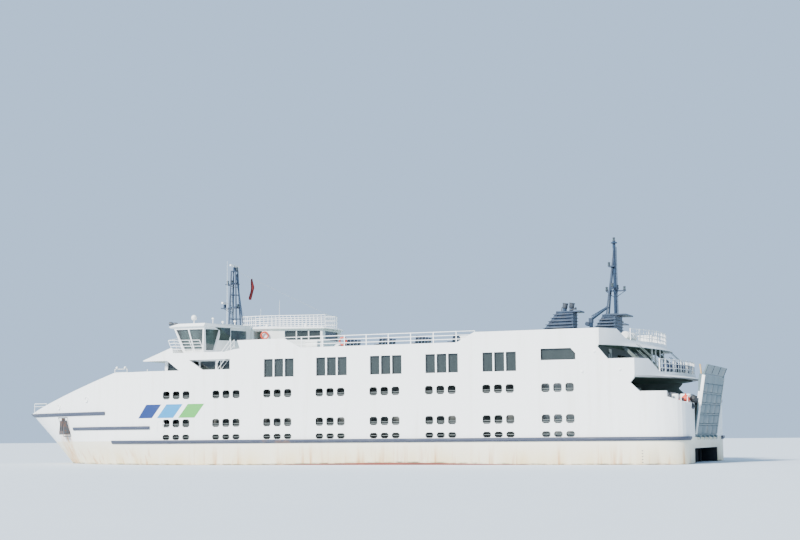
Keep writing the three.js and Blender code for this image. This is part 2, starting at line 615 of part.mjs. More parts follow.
// The walls and floor are in three: the middle, and a wing at each side from the middle of a mullion
const WING_INNER = 3.5 * BRIDGE_WINDOW.pitch;
function wheelhouse() {
  const half = WING_INNER - GAP;
  return bridgeWalls().intersect(box(0, 12, -half, half, BRIDGE.z0, BRIDGE.z1));
}
function wheelhouseWing() {
  return bridgeWalls().intersect(box(0, 12, WING_INNER, HALF_BEAM + 1, BRIDGE.z0, BRIDGE.z1));
}
function wheelhouseGlass() {
  const outside = BRIDGE.wall + GAP;
  const { aft, fore, half } = BRIDGE_PASSAGE;
  const passage = box(aft, fore, -half, half, BRIDGE.z0, 11);
  const foot = BRIDGE.z0 + BRIDGE.wall + 0.02;
  const band = bridgeInside(outside).intersect(box(0, 12, -10, 10, foot, BRIDGE.z1 - GAP));
  return cut(band, [bridgeInside(outside + GLASS_PLATE), passage]);
}

// Wheelhouse roof, its fascia sloping back
const ROOF = { z0: BRIDGE.z1 + GAP, z1: 11.22, foreX: 11.2, topForeX: 10.5, aftX: 7.66 };
function roofRing(z, x, side) {
  const rear = [BRIDGE_REAR.x, BRIDGE_REAR.half + 0.15];
  const port = [[x + 0.4, 0], [x, 8.2], [x - 0.35, side], [ROOF.aftX, side], rear];
  return bothSides(port).map(([px, py]) => [px, py, z]);
}
function wheelhouseRoof() {
  const { z0, z1, foreX, topForeX } = ROOF;
  const brim = [roofRing(z0, foreX - 0.05, 8.85), roofRing(z0 + 0.06, foreX, 8.9)];
  return loft([...brim, roofRing(z1, topForeX, 8.7)]);
}

// Deckhouse behind the wheelhouse, narrowing aft, with its windows high under the roof's edge
const houseHalfAt = (x) => {
  const share = (x - HOUSE.aft) / (HOUSE.fore - HOUSE.aft);
  return HOUSE.aftHalf + share * (HOUSE.foreHalf - HOUSE.aftHalf);
};
function houseBlock(inset, fore, z0, z1) {
  const aft = HOUSE.aft + inset;
  const [foreHalf, aftHalf] = [houseHalfAt(fore) - inset, houseHalfAt(aft) - inset];
  return plan([[aft, -aftHalf], [fore, -foreHalf], [fore, foreHalf], [aft, aftHalf]], z0, z1);
}
const HOUSE_WINDOW = { aft: 0.72, width: 0.88, pitch: 0.94, count: 3, rearHalf: 1.3, z0: 10.05, z1: 10.8 };
const HOUSE_DOORWAY = { aft: 5.2, fore: 5.88, z0: SUN_DECK_Z + 0.15, z1: 10.8 };
function deckhouse() {
  const { z0, z1, aft, width, pitch, count, rearHalf } = HOUSE_WINDOW;
  const block = houseBlock(0, HOUSE.fore - GAP, SUN_DECK_Z + GAP, HOUSE.top);
  const room = houseBlock(HOUSE.wall, HOUSE.fore + 1, 0, 20);
  const holes = [
    box(HOUSE_DOORWAY.aft, HOUSE_DOORWAY.fore, -9, 9, HOUSE_DOORWAY.z0, HOUSE_DOORWAY.z1),
    box(HOUSE.aft - 1, HOUSE.aft + 0.3, -rearHalf, rearHalf, z0, z1),
  ];
  for (let k = 0; k < count; k++) {
    const x = aft + k * pitch;
    holes.push(box(x, x + width, -9, 9, z0, z1));
  }
  return cut(block, [room, ...holes]);
}
function deckhouseGlass() {
  const { z0, aft, pitch, count } = HOUSE_WINDOW;
  const outside = HOUSE.wall + GAP;
  const fore = aft + pitch * count + 0.1;
  const sheet = houseBlock(outside, fore, z0 - 0.1, HOUSE.top - GAP);
  return sheet.subtract(houseBlock(outside + GLASS_PLATE, fore + 1, 0, 20));
}
const HOUSE_ROOF = { z0: HOUSE.top + GAP, z1: 11.14, brim: 0.15, aftBrim: 0.25, inset: 0.25, bow: 0.15 };
function houseRoofRing(z, inset) {
  const { brim, aftBrim, bow } = HOUSE_ROOF;
  const aft = HOUSE.aft - aftBrim + inset;
  const fore = HOUSE.fore - GAP;
  const port = [
    [fore, 0], [fore, HOUSE.foreHalf + brim - inset], [aft, HOUSE.aftHalf + brim - inset], [aft - bow, 0],
  ];
  const ring = [...port, ...port.slice(1, -1).reverse().map(([x, y]) => [x, -y])];
  return ring.map(([x, y]) => [x, y, z]);
}
function deckhouseRoof() {
  const { z0, z1, inset } = HOUSE_ROOF;
  return loft([houseRoofRing(z0, 0.03), houseRoofRing(z0 + 0.06, 0), houseRoofRing(z1, inset)]);
}

// Funnels with louvred sides and a top plate: one at each side with two pipes, and a wider one between them
// whose plate carries the aft mast
const SIDE_FUNNEL = {
  y: 7.1, half: 0.6, top: 11.05, plate: { thick: 0.1, aft: -22.75, out: 0.06 },
  base: { fore: -19.14, aft: -22.2 },
  head: { fore: -21.0, aft: -22.2 },
  pipes: [-21.4, -21.9],
};
const MIDDLE_FUNNEL = {
  y: 0, half: 1.2, top: 11.22, plate: { thick: 0.1, aft: -24.6, out: 0.06 },
  base: { fore: -21.2, aft: -23.75 },
  head: { fore: -22.8, aft: -23.75 },
  pipes: [],
};
const LOUVRE = { z: 9.5, spacing: 0.24, height: 0.12, depth: 0.05, margin: 0.3 };
const PIPE = { diameter: 0.3, rise: 0.6, rake: 0.1 };
function funnel({ y, half, top, plate, base, head, pipes }) {
  const z0 = SUN_DECK_Z + GAP;
  const sides = [[base.aft, z0], [base.fore, z0], [head.fore, top], [head.aft, top]];
  const body = profile(sides, y - half, y + half);
  const grooves = [];
  for (let z = LOUVRE.z; z + LOUVRE.height < top - plate.thick; z += LOUVRE.spacing) {
    const share = (z - z0) / (top - z0);
    const fore = base.fore + (head.fore - base.fore) * share - LOUVRE.margin;
    for (const face of [y - half, y + half]) {
      const [y0, y1] = [face - LOUVRE.depth, face + LOUVRE.depth];
      grooves.push(box(base.aft + 0.1, fore, y0, y1, z, z + LOUVRE.height));
    }
  }
  const edge = half + plate.out;
  const lidHalf = plate.thick / 2;
  const lid = box(plate.aft, head.fore + 0.05, y - edge, y + edge, top - lidHalf, top + lidHalf);
  const { diameter, rise, rake } = PIPE;
  const stacks = pipes.map((x) => bar([x, y, top - 0.1], [x - rake, y, top + rise], diameter));
  return union([cut(body, grooves), lid, ...stacks]);
}

// Engine casings on the vehicle deck under the funnels
const CASING = { aft: -23.6, fore: -18.6, near: 6.0, far: 7.8 };
function casing() {
  const { aft, fore, near, far } = CASING;
  const top = PASSENGER_DECK_Z - 2 * GAP - DECK_PLATE - FRAME.depth;
  return box(aft, fore, near, far, VEHICLE_DECK_Z + GAP, top);
}

// Lattice mast on the wheelhouse roof
const FORE_MAST = { z0: ROOF.z1 + GAP, top: 16.35, rungs: 5, leg: 0.09, brace: 0.06 };
const FORE_LEGS = [
  [10.05, 0.4, 9.9, 0.2], [9.3, 0.4, 9.5, 0.2], [9.3, -0.4, 9.5, -0.2], [10.05, -0.4, 9.9, -0.2],
];
const AFT_LEG = { footX: 8.8, headX: 9.52 };
const UPPER_RADAR = { x: 9.7, half: 0.75 };
const RADAR_ARM = { x: 10.62, z: 13.17, half: 0.5, aft: 9.3, width: 0.8 };
const RADAR_MOTOR = { diameter: 0.26, height: 0.3 };
const LAMP_PLATFORM = { aft: 9.3, fore: 10.5, half: 0.2, z0: 15.15, z1: 15.22 };
function foreMast() {
  const { z0, top, rungs, leg, brace } = FORE_MAST;
  const at = ([x0, y0, x1, y1], share) => [
    x0 + (x1 - x0) * share,
    y0 + (y1 - y0) * share,
    z0 + (top - z0) * share,
  ];
  const bars = FORE_LEGS.map((row) => bar(at(row, 0), at(row, 1), leg, 4));
  for (let k = 1; k <= rungs; k++) {
    const share = k / rungs - 0.01;
    FORE_LEGS.forEach((row, i) => {
      bars.push(bar(at(row, share), at(FORE_LEGS[(i + 1) % 4], share), brace, 4));
    });
  }
  bars.push(bar([AFT_LEG.footX, 0, z0 + 0.02], [AFT_LEG.headX, 0, top - 0.3], leg, 4));
  const { x: upperX } = UPPER_RADAR;
  bars.push(box(upperX - 0.25, upperX + 0.25, -0.25, 0.25, top - 0.05, top));
  const { x: armX, z: armZ, aft: armAft, width: armWidth } = RADAR_ARM;
  bars.push(box(armAft, armX + 0.18, -armWidth / 2, armWidth / 2, armZ - 0.08, armZ));
  const { diameter, height } = RADAR_MOTOR;
  bars.push(bar([armX, 0, armZ - 0.04], [armX, 0, armZ + height], diameter));
  bars.push(bar([upperX, 0, top - 0.02], [upperX, 0, top + height], diameter));
  const platform = LAMP_PLATFORM;
  bars.push(box(platform.aft, platform.fore, -platform.half, platform.half, platform.z0, platform.z1));
  return above(union(bars), z0);
}
function radarScanner(x, z, half) {
  const aerial = box(x - 0.07, x + 0.07, -half, half, z + 0.05, z + 0.19);
  return union([aerial, bar([x, 0, z], [x, 0, z + 0.1], 0.18)]);
}

// Tripod mast on the middle funnel's top plate
const AFT_MAST = { x: -23.52, top: 17.05, apex: 16.3, footX: -22.9, footY: 0.4, plate: 0.1 };
const MAST_ARMS = [
  { aft: -0.85, fore: 0.72, half: 0.06, z0: 13.1, z1: 13.2 },
  { aft: -0.06, fore: 0.06, half: 0.9, z0: 13.3, z1: 13.4 },
  { aft: -0.06, fore: 0.45, half: 0.3, z0: 15.02, z1: 15.1 },
];
function aftMast() {
  const { x, top, apex, footX, footY, plate } = AFT_MAST;
  const z0 = MIDDLE_FUNNEL.top + MIDDLE_FUNNEL.plate.thick / 2 + GAP;
  const foot = z0 + plate / 2;
  const whole = union([
    bar([x, 0, z0], [x, 0, top], 0.24),
    bar([footX, footY, foot], [x, 0, apex], 0.12, 4),
    bar([footX, -footY, foot], [x, 0, apex], 0.12, 4),
    ...MAST_ARMS.map((arm) => box(x + arm.aft, x + arm.fore, -arm.half, arm.half, arm.z0, arm.z1)),
    bar([x, 0, top - 0.2], [x, 0, top - 0.1], 0.5),
    box(x - 0.2, footX + 0.12, -footY - 0.12, footY + 0.12, z0, z0 + plate),
  ]);
  return above(whole, z0);
}

// Davit crane beside the port funnel
const CRANE = { x: -22.75, y: 4.6, head: 10.5, fork: 0.11, tip: { x: -24.0, z: 11.5 } };
function cranePost() {
  const { x, y, head } = CRANE;
  return bar([x, y, SUN_DECK_Z + GAP], [x, y, head - 0.5], 0.3);
}
function craneHead() {
  const { x, y, head } = CRANE;
  const neck = bar([x, y, head - 0.5 + GAP], [x, y, head], 0.3);
  const port = box(x - 0.14, x + 0.14, y + CRANE.fork, y + CRANE.fork + 0.08, head - 0.1, head + 0.25);
  return union([neck, port, port.translate([0, -2 * CRANE.fork - 0.08, 0])]);
}
function craneBoom() {
  const { x, y, head, tip } = CRANE;
  const pin = head + 0.13;
  const half = CRANE.fork - GAP;
  const barrel = bar([x, y - half, pin], [x, y + half, pin], 0.16);
  return union([bar([x, y, pin], [tip.x, y, tip.z], 0.14, 4), barrel]);
}

// Stern ramp and its flap, built upright at the hinge and then leaned aft
const RAMP = {
  hinge: { x: -30.31, z: 1.78 }, lean: 9.4, length: 4.68, outer: 0.11, inner: 0.31, sill: 0.13,
};
const RAMP_GRID = { columns: 4, rows: 5, web: 0.1, depth: 0.12, top: 4.12 };
const RAMP_KERB = { thick: 0.06, from: 2.6, full: 4.2, depth: 0.2 };
function leaned(solid) {
  return solid.rotate([0, -RAMP.lean, 0]).translate([RAMP.hinge.x, 0, RAMP.hinge.z]);
}
function ramp() {
  const { length, inner, outer, sill } = RAMP;
  const { columns, rows, web, depth, top } = RAMP_GRID;
  const plate = box(outer, inner, -RAMP_HALF, RAMP_HALF, sill, length);
  const wide = (2 * RAMP_HALF - web * 2) / columns;
  const tall = (top - sill - web) / rows;
  const pockets = [];
  for (let column = 0; column < columns; column++) {
    for (let row = 0; row < rows; row++) {
      const y = -RAMP_HALF + web + column * wide;
      const z = sill + web + row * tall;
      const [y0, y1] = [y + web / 2, y + wide - web / 2];
      pockets.push(box(outer - 1, outer + depth, y0, y1, z + web / 2, z + tall - web / 2));
    }
  }
  const { half, radius } = KNUCKLES;
  const knuckles = KNUCKLES.y.flatMap((y) => [
    bar([0, y - half, 0], [0, y + half, 0], 2 * radius),
    box(-radius, radius, y - half, y + half, 0, sill + 0.09),
    box(-radius, outer + 0.04, y - half, y + half, sill + 0.01, sill + 0.09),
  ]);
  const ears = [1, -1].map((side) => {
    const [y0, y1] = [side * (FLAP.half + GAP), side * RAMP_HALF].sort((a, b) => a - b);
    return box(FLAP.x - 0.09, FLAP.x + 0.07, y0, y1, length - 0.1, length + FLAP.clear + 0.09);
  });
  const { thick, from, full, depth: kerbDepth } = RAMP_KERB;
  const kerbTop = inner + kerbDepth;
  const kerb = profile(
    [[inner - 0.03, from], [inner, from], [kerbTop, full], [kerbTop, length], [inner - 0.03, length]],
    RAMP_HALF - thick,
    RAMP_HALF,
  );
  return leaned(union([cut(plate, pockets), ...knuckles, ...ears, kerb, mirrored(kerb)]));
}
const FLAP = { lean: 14.5, length: 0.69, half: 4.0, x: RAMP.outer + 0.09, clear: 0.08 };
function flapHinge() {
  const angle = (RAMP.lean * Math.PI) / 180;
  const along = RAMP.length + FLAP.clear;
  const outward = FLAP.x;
  return {
    x: RAMP.hinge.x + outward * Math.cos(angle) - along * Math.sin(angle),
    z: RAMP.hinge.z + outward * Math.sin(angle) + along * Math.cos(angle),
  };
}
function rampFlap() {
  const hinge = flapHinge();
  const plate = box(-0.06, 0.06, -FLAP.half, FLAP.half, 0, FLAP.length);
  const tube = bar([0, -FLAP.half, 0], [0, FLAP.half, 0], 0.13);
  const upright = union([plate, tube]);
  return upright.rotate([0, -RAMP.lean - FLAP.lean, 0]).translate([hinge.x, 0, hinge.z]);
}

// Propellers and rudders
const PROPELLER = { hub: 0.34, length: 0.45, radius: 0.8, blades: 4, chord: 0.5, thick: 0.06, pitch: 32 };
function propeller() {
  const { hub, length, radius, blades, chord, thick, pitch } = PROPELLER;
  const aft = SHAFT.aft - GAP;
  const middle = (radius + 0.1) / 2;
  const outline = Array.from({ length: 12 }, (_, k) => {
    const angle = (k / 12) * 2 * Math.PI;
    return [(chord / 2) * Math.cos(angle), middle + ((radius - 0.1) / 2) * Math.sin(angle)];
  });
  const blade = plan(outline, -thick / 2, thick / 2).rotate([90, 0, 0]).rotate([0, 0, 90 - pitch]);
  const pieces = [bar([-length, 0, 0], [0, 0, 0], hub)];
  for (let k = 0; k < blades; k++) {
    pieces.push(blade.rotate([(k * 360) / blades, 0, 0]).translate([-length / 2, 0, 0]));
  }
  return union(pieces).translate([aft, SHAFT.y, SHAFT.z]);
}
const RUDDER = {
  x: -26.5, y: SHAFT.y, fore: 0.5, aft: -1.0, top: -1.12, bottom: -2.85, half: 0.14, boss: -1.02,
};
function rudder() {
  const { x, y, fore, aft, top, bottom, half, boss } = RUDDER;
  const upper = [[fore - 0.12, half * 0.7], [0.1, half], [aft, 0.03]];
  const foil = [[fore, 0], ...upper, ...upper.map(([px, py]) => [px, -py]).reverse()];
  const blade = plan(foil, bottom, top).translate([x, y, 0]);
  return union([blade, bar([x, y, top - 0.05], [x, y, boss - GAP], 0.2)]);
}

// Stockless anchor housed against the flare
const ANCHOR = { x: 23.9, z: 3.15, turn: -34 };
function anchor() {
  const y = 4.05;
  const shank = box(-0.1, 0.1, -0.3, 0.3, -0.4, 0.75);
  const crown = box(-0.6, 0.6, -0.3, 0.3, -0.65, -0.35);
  const fluke = profile([[-0.17, -0.5], [0.17, -0.5], [0, 0.55]], -0.3, 0.3);
  const flukes = [-0.42, 0.42].map((x) => fluke.translate([x, 0, 0]));
  const upright = union([shank, crown, ...flukes]).rotate([0, 0, ANCHOR.turn]);
  const loose = upright.translate([ANCHOR.x, y, ANCHOR.z]);
  const heights = [VEHICLE_DECK_Z, STRAKES.middle.z0, STRAKES.middle.z1, STRAKES.bow.z0];
  const shell = loft(heights.map((z) => ringAt(z, 2 * GAP)));
  return loose.subtract(shell);
}

const root = new THREE.Group();
function add(name, solid, material) {
  const mesh = new THREE.Mesh(geometryOf(solid).scale(SCALE, SCALE, SCALE), material);
  mesh.name = name;
  root.add(mesh);
}
function addPair(name, solid, material) {
  add(name + "_port", solid, material);
  add(name + "_starboard", mirrored(solid), material);
}

add("hull", hull(), CREAM);
add("bow_shell", bowShell(), WHITE);
addPair("lower_side", lowerSide(), WHITE);
addPair("stern_quarter", quarter(), WHITE);
add("bow_strake", bowStrake(), BLUE);
addPair("middle_strake", middleStrake(), BLUE);
addPair("main_strake", mainStrake(), BLUE);
add("passenger_deck", passengerDeck(), DECK_GREEN);
add("sun_deck", sunDeck(), DECK_GREEN);
add("passenger_deck_edge", sternEdge(PASSENGER_EDGE), WHITE);
add("sun_deck_edge", sternEdge(SUN_EDGE), WHITE);
addPair("upper_side", upperSide(), WHITE);
addPair("side_glass", sideGlass(), GLASS);
add("canopy", canopy(), WHITE);
add("lounge_front", loungeFront(), WHITE);
add("lounge_front_glass", loungeFrontGlass(), GLASS);
add("lounge_aft", loungeAft(), WHITE);
addPair("lounge_door", loungeDoor(), WHITE);
add("wheelhouse", wheelhouse(), WHITE);
addPair("wheelhouse_wing", wheelhouseWing(), WHITE);
add("wheelhouse_glass", wheelhouseGlass(), GLASS);
add("wheelhouse_roof", wheelhouseRoof(), WHITE);
add("deckhouse", deckhouse(), WHITE);
add("deckhouse_glass", deckhouseGlass(), GLASS);
add("deckhouse_roof", deckhouseRoof(), WHITE);
addPair("funnel", funnel(SIDE_FUNNEL), FUNNEL_BLUE);
add("funnel_middle", funnel(MIDDLE_FUNNEL), FUNNEL_BLUE);
addPair("engine_casing", casing(), WHITE);
add("fore_mast", foreMast(), FUNNEL_BLUE);
const onMotor = (z) => z + RADAR_MOTOR.height + GAP;
add("radar_upper", radarScanner(UPPER_RADAR.x, onMotor(FORE_MAST.top), UPPER_RADAR.half), WHITE);
add("radar_lower", radarScanner(RADAR_ARM.x, onMotor(RADAR_ARM.z), RADAR_ARM.half), WHITE);
add("aft_mast", aftMast(), FUNNEL_BLUE);
add("crane_post", cranePost(), FUNNEL_BLUE);
add("crane_head", craneHead(), FUNNEL_BLUE);
add("crane_boom", craneBoom(), FUNNEL_BLUE);
add("stern_ramp", ramp(), STEEL);
add("ramp_flap", rampFlap(), STEEL);
addPair("propeller", propeller(), BRONZE);
addPair("rudder", rudder(), DARK);
addPair("anchor", anchor(), DARK);
const SIDE_RAIL = { fore: -0.85, aft: -13.55, y: HALF_BEAM - 0.08, z: 9.0, height: 0.85 };
const SIDE_RAIL_PATH = [[SIDE_RAIL.fore, SIDE_RAIL.y], [SIDE_RAIL.aft, SIDE_RAIL.y]];
addPair("side_rail", railing(SIDE_RAIL_PATH, SIDE_RAIL.z, SIDE_RAIL.height), WHITE);
// The rail's path along a stern edge's coaming, from a breadth on one side to the same on the other
function coamingPath(edge, from) {
  const breadths = [from, ...edge.tops.map(([y]) => y).filter((y) => y < from)];
  const port = breadths.map((y) => [edgeAt(edge, y) + EDGE.wall / 2, y]);
  return [...port, ...port.slice(0, -1).reverse().map(([x, y]) => [x, -y])];
}
const coamingTop = (edge) => edge.tops.at(-1)[1];
add("sun_deck_rail", railing(coamingPath(SUN_EDGE, 5.6), coamingTop(SUN_EDGE), 0.9), WHITE);
const passengerRail = railing(coamingPath(PASSENGER_EDGE, 5.95), coamingTop(PASSENGER_EDGE), 0.96);
add("passenger_deck_rail", passengerRail, WHITE);

export default root;
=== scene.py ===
"""The looks of a drive-on ro-ro passenger ferry at 1:2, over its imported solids.

The frame is the solids' own: +X to the bow, +Y to port, +Z up, the origin amidships at the waterline.
Sizes are in metres of the full-size ship, and M turns them into the model's metres.
"""
import json
import math

import bpy
from mathutils import Matrix, Vector
from mathutils.bvhtree import BVHTree

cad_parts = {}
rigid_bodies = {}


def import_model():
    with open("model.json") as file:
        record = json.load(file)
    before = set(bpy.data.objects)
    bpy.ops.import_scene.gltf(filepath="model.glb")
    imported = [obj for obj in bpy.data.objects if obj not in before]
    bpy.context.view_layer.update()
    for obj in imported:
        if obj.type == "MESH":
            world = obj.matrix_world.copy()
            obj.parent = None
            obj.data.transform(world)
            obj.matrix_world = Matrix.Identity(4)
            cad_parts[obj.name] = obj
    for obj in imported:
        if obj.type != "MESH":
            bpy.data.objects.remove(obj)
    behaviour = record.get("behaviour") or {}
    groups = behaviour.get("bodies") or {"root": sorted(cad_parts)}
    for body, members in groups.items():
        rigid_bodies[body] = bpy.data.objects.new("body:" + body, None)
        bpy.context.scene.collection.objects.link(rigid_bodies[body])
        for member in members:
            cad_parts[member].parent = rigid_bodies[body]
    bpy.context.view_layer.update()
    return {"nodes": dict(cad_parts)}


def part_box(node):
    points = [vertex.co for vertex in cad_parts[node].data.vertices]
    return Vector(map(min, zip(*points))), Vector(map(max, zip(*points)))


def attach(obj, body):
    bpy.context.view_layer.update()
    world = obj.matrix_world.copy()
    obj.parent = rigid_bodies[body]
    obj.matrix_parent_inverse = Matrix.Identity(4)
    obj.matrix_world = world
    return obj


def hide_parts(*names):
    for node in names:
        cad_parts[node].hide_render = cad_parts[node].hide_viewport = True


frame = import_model()

M = 0.5  # one metre of the ship, in metres of the model
LEVEL = 0.9  # a face whose normal rises more than this is a deck


def corner(node, high):
    """A corner of a solid's box, in the ship's metres."""
    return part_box(node)[1 if high else 0] / M


VEHICLE_DECK = corner("hull", True).z
PASSENGER_DECK = corner("passenger_deck", True).z
SUN_DECK = corner("sun_deck", True).z
CANOPY_TOP = corner("wheelhouse", False).z
ROOF = corner("wheelhouse_roof", True).z
HOUSE_ROOF = corner("deckhouse_roof", True).z
HALF_BEAM = corner("lower_side_port", True).y
FUNNEL_LID = corner("funnel_middle", True).z
MOORING_DECK = 4.0
ACROSS = (0, 1, 0)  # the axis across the ship


# Modelling in edit mode

def build(model, finish, body="ship", smooth=35):
    """Models a piece in an empty mesh at the origin, named for its function, turns its faces outwards, and
    gives it a finish and the body it rides on."""
    bpy.ops.object.select_all(action="DESELECT")
    bpy.ops.object.add(type="MESH")
    piece = bpy.context.object
    piece.name = model.__name__
    bpy.ops.object.mode_set(mode="EDIT")
    model()
    bpy.ops.mesh.select_all(action="SELECT")
    bpy.ops.mesh.normals_make_consistent(inside=False)
    bpy.ops.object.mode_set(mode="OBJECT")
    bpy.ops.object.shade_smooth_by_angle(angle=math.radians(smooth))
    piece.data.materials.append(finish)
    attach(piece, body)
    return piece


def modify(kind, **settings):
    """Adds a modifier to the open mesh and applies it."""
    piece = bpy.context.object
    bpy.ops.object.mode_set(mode="OBJECT")
    modifier = piece.modifiers.new(kind.lower(), kind)
    for name, value in settings.items():
        setattr(modifier, name, value)
    bpy.ops.object.modifier_apply(modifier=modifier.name)
    bpy.ops.object.mode_set(mode="EDIT")


def both_sides():
    """Mirrors the open mesh to starboard."""
    modify("MIRROR", use_axis=(False, True, False), use_mirror_merge=False)


def rod(start, stop, diameter, sides=8):
    """A round bar from one point to another."""
    start, stop = Vector(start) * M, Vector(stop) * M
    along = stop - start
    turn = along.to_track_quat("Z", "Y").to_euler()
    bpy.ops.mesh.primitive_circle_add(
        vertices=sides, radius=diameter * M / 2, fill_type="NGON", location=start, rotation=turn
    )
    bpy.ops.mesh.extrude_region_move(TRANSFORM_OT_translate={"value": along})


def rods(points, diameter, sides=8):
    """Round bars from point to point."""
    for start, stop in zip(points, points[1:]):
        rod(start, stop, diameter, sides)


def box(centre, size, edge, turn=(0, 0, 0)):
    """A box about a centre with its edges rounded."""
    bpy.ops.mesh.primitive_cube_add(
        size=1, location=Vector(centre) * M, rotation=turn, scale=Vector(size) * M
    )
    bpy.ops.mesh.bevel(offset=edge * M, segments=2, affect="EDGES")


def block(low, high, edge=0.01, turn=(0, 0, 0)):
    """A box between two corners."""
    low, high = Vector(low), Vector(high)
    box((low + high) / 2, high - low, edge, turn)


def draw(points):
    """A chain of edges through the points, drawn vertex by vertex and left selected."""
    points = [Vector(point) * M for point in points]
    bpy.ops.mesh.primitive_plane_add(size=0.001, location=points[0])
    bpy.ops.mesh.merge(type="CENTER")
    for start, stop in zip(points, points[1:]):
        bpy.ops.mesh.extrude_region_move(TRANSFORM_OT_translate={"value": stop - start})
    bpy.ops.mesh.select_linked()


def plate(points, thickness):
    """A flat outline through the points, pushed along a vector."""
    draw(points)
    bpy.ops.mesh.edge_face_add()
    bpy.ops.mesh.extrude_region_move(TRANSFORM_OT_translate={"value": Vector(thickness) * M})


def turned(centre, outline, axis=(0, 0, 1), steps=20):
    """A round body: (radius, height) points spun about an axis through the centre."""
    axis = Vector(axis).normalized()
    side = axis.orthogonal().normalized()
    centre = Vector(centre)
    draw([centre + side * radius + axis * height for radius, height in outline])
    bpy.ops.mesh.spin(
        steps=steps, angle=2 * math.pi, center=centre * M, axis=axis, use_auto_merge=True
    )
    bpy.ops.mesh.select_linked()
    bpy.ops.mesh.remove_doubles(threshold=0.0005)


def flange(points, width, depth):
    """A flat rim inside a closed outline, standing out along a vector."""
    bpy.ops.mesh.select_all(action="DESELECT")
    bpy.ops.mesh.hide(unselected=True)
    draw(points)
    bpy.ops.mesh.edge_face_add()
    bpy.ops.mesh.inset(thickness=width * M, depth=0)
    bpy.ops.mesh.delete(type="ONLY_FACE")
    bpy.ops.mesh.select_all(action="SELECT")
    bpy.ops.mesh.extrude_region_move(TRANSFORM_OT_translate={"value": Vector(depth) * M})
    bpy.ops.mesh.reveal(select=False)


def railing(path, height, spacing, bars=3, bar=0.05, post=0.04, lean=0.0):
    """Posts and rails along a path of (x, y, z) points at the deck. The head leans forward."""
    rise = Vector((lean, 0, height))
    path = [Vector(point) for point in path]
    for start, stop in zip(path, path[1:]):
        for level in range(1, bars + 1):
            share = level / bars
            rod(start + rise * share, stop + rise * share, bar, 6)
        posts = max(1, round((stop - start).length / spacing))
        for k in range(posts):
            foot = start.lerp(stop, k / posts)
            rod(foot, foot + rise, post, 6)
    rod(path[-1], path[-1] + rise, post, 6)


# Finishes

FACTOR, FIRST, SECOND, MIXED = 0, 6, 7, 2  # the sockets of a Mix node that mixes colours
CRISP = 0.01  # the blur of a painted edge


def srgb(colour):
    """A hex colour in linear light."""
    parts = [int(colour[k:k + 2], 16) / 255 for k in (1, 3, 5)]
    linear = [v / 12.92 if v <= 0.04045 else ((v + 0.055) / 1.055) ** 2.4 for v in parts]
    return (*linear, 1.0)


class Finish:
    """A material in the making. Its patterns read the object coordinates."""

    def __init__(self, name, roughness, metallic=0.0, coat=0.0):
        self.material = bpy.data.materials.new(name)
        self.material.use_nodes = True
        self.shader = self.material.node_tree.nodes["Principled BSDF"]
        for socket, value in (("Roughness", roughness), ("Metallic", metallic), ("Coat Weight", coat)):
            self.shader.inputs[socket].default_value = value
        self.places = self.add("TexCoord", out="Object")

    def add(self, kind, inputs=(), out=0, **settings):
        """Adds a node with its settings, its values and the sockets that feed it, and gives an output."""
        tree = self.material.node_tree
        made = tree.nodes.new("ShaderNode" + kind)
        for name, value in settings.items():
            setattr(made, name, value)
        for name, value in dict(inputs).items():
            if isinstance(value, bpy.types.NodeSocket):
                tree.links.new(value, made.inputs[name])
            else:
                made.inputs[name].default_value = value
        return made.outputs[out]

    def along(self, axis):
        """The place along an axis, in the model's metres."""
        return self.add("SeparateXYZ", {"Vector": self.places}, axis)

    def facing(self, axis):
        """How far the face looks along an axis, from -1 to 1."""
        normal = self.add("NewGeometry", out="Normal")
        return self.add("SeparateXYZ", {"Vector": normal}, axis)

    def patches(self, size, stretch=(1, 1, 1), low=0.4, high=0.65, detail=4.0):
        """Patches of a size in the ship's metres, longer where the stretch is larger, from 0 to 1."""
        scale = [1 / (size * M * part) for part in stretch]
        spread = self.add("Mapping", {"Vector": self.places, "Scale": scale})
        clouds = self.add("TexNoise", {"Vector": spread, "Scale": 1.0, "Detail": detail})
        return self.add("MapRange", {"Value": clouds, "From Min": low, "From Max": high})

    def lay(self, below, above, *masks):
        """Lays a colour over another by the product of its masks: sockets, numbers, or a (place, start,
        stop) that rises from 0 to 1 between two of the ship's metres."""
        factor = None
        for mask in masks:
            if isinstance(mask, tuple):
                place, start, stop = mask
                ramp = {"Value": place, "From Min": start * M, "From Max": stop * M}
                mask = self.add("MapRange", ramp)
            if factor:
                mask = self.add("Math", {0: factor, 1: mask}, operation="MULTIPLY")
            factor = mask
        below, above = (srgb(part) if isinstance(part, str) else part for part in (below, above))
        return self.add("Mix", {FACTOR: factor, FIRST: below, SECOND: above}, MIXED, data_type="RGBA")

    def relief(self, height, strength, depth):
        """Adds bump from a height to the bump so far, its depth in the ship's metres."""
        normal = self.shader.inputs["Normal"]
        bump = {"Height": height, "Strength": strength, "Distance": depth * M}
        if normal.is_linked:
            bump["Normal"] = normal.links[0].from_socket
        self.material.node_tree.links.new(self.add("Bump", bump), normal)

    def close(self, colour):
        """Feeds the shader its colour, and gives the material."""
        self.material.node_tree.links.new(colour, self.shader.inputs["Base Color"])
        return self.material


def plate_seams(paint, wide=7.2, tall=2.3):
    """Weld seams of the shell plating, seen from the side, 0 on a seam and 1 between them."""
    quarter = math.radians(-90)
    side_on = paint.add("Mapping", {"Vector": paint.places, "Rotation": (quarter, 0, 0)})
    bricks = {
        "Vector": side_on, "Scale": 1.0, "Mortar Size": 0.02 * M, "Mortar Smooth": 0.6,
        "Brick Width": wide * M, "Row Height": tall * M,
    }
    seam = paint.add("TexBrick", bricks, "Fac", offset=0.37)
    return paint.add("Math", {0: 1.0, 1: seam}, operation="SUBTRACT")


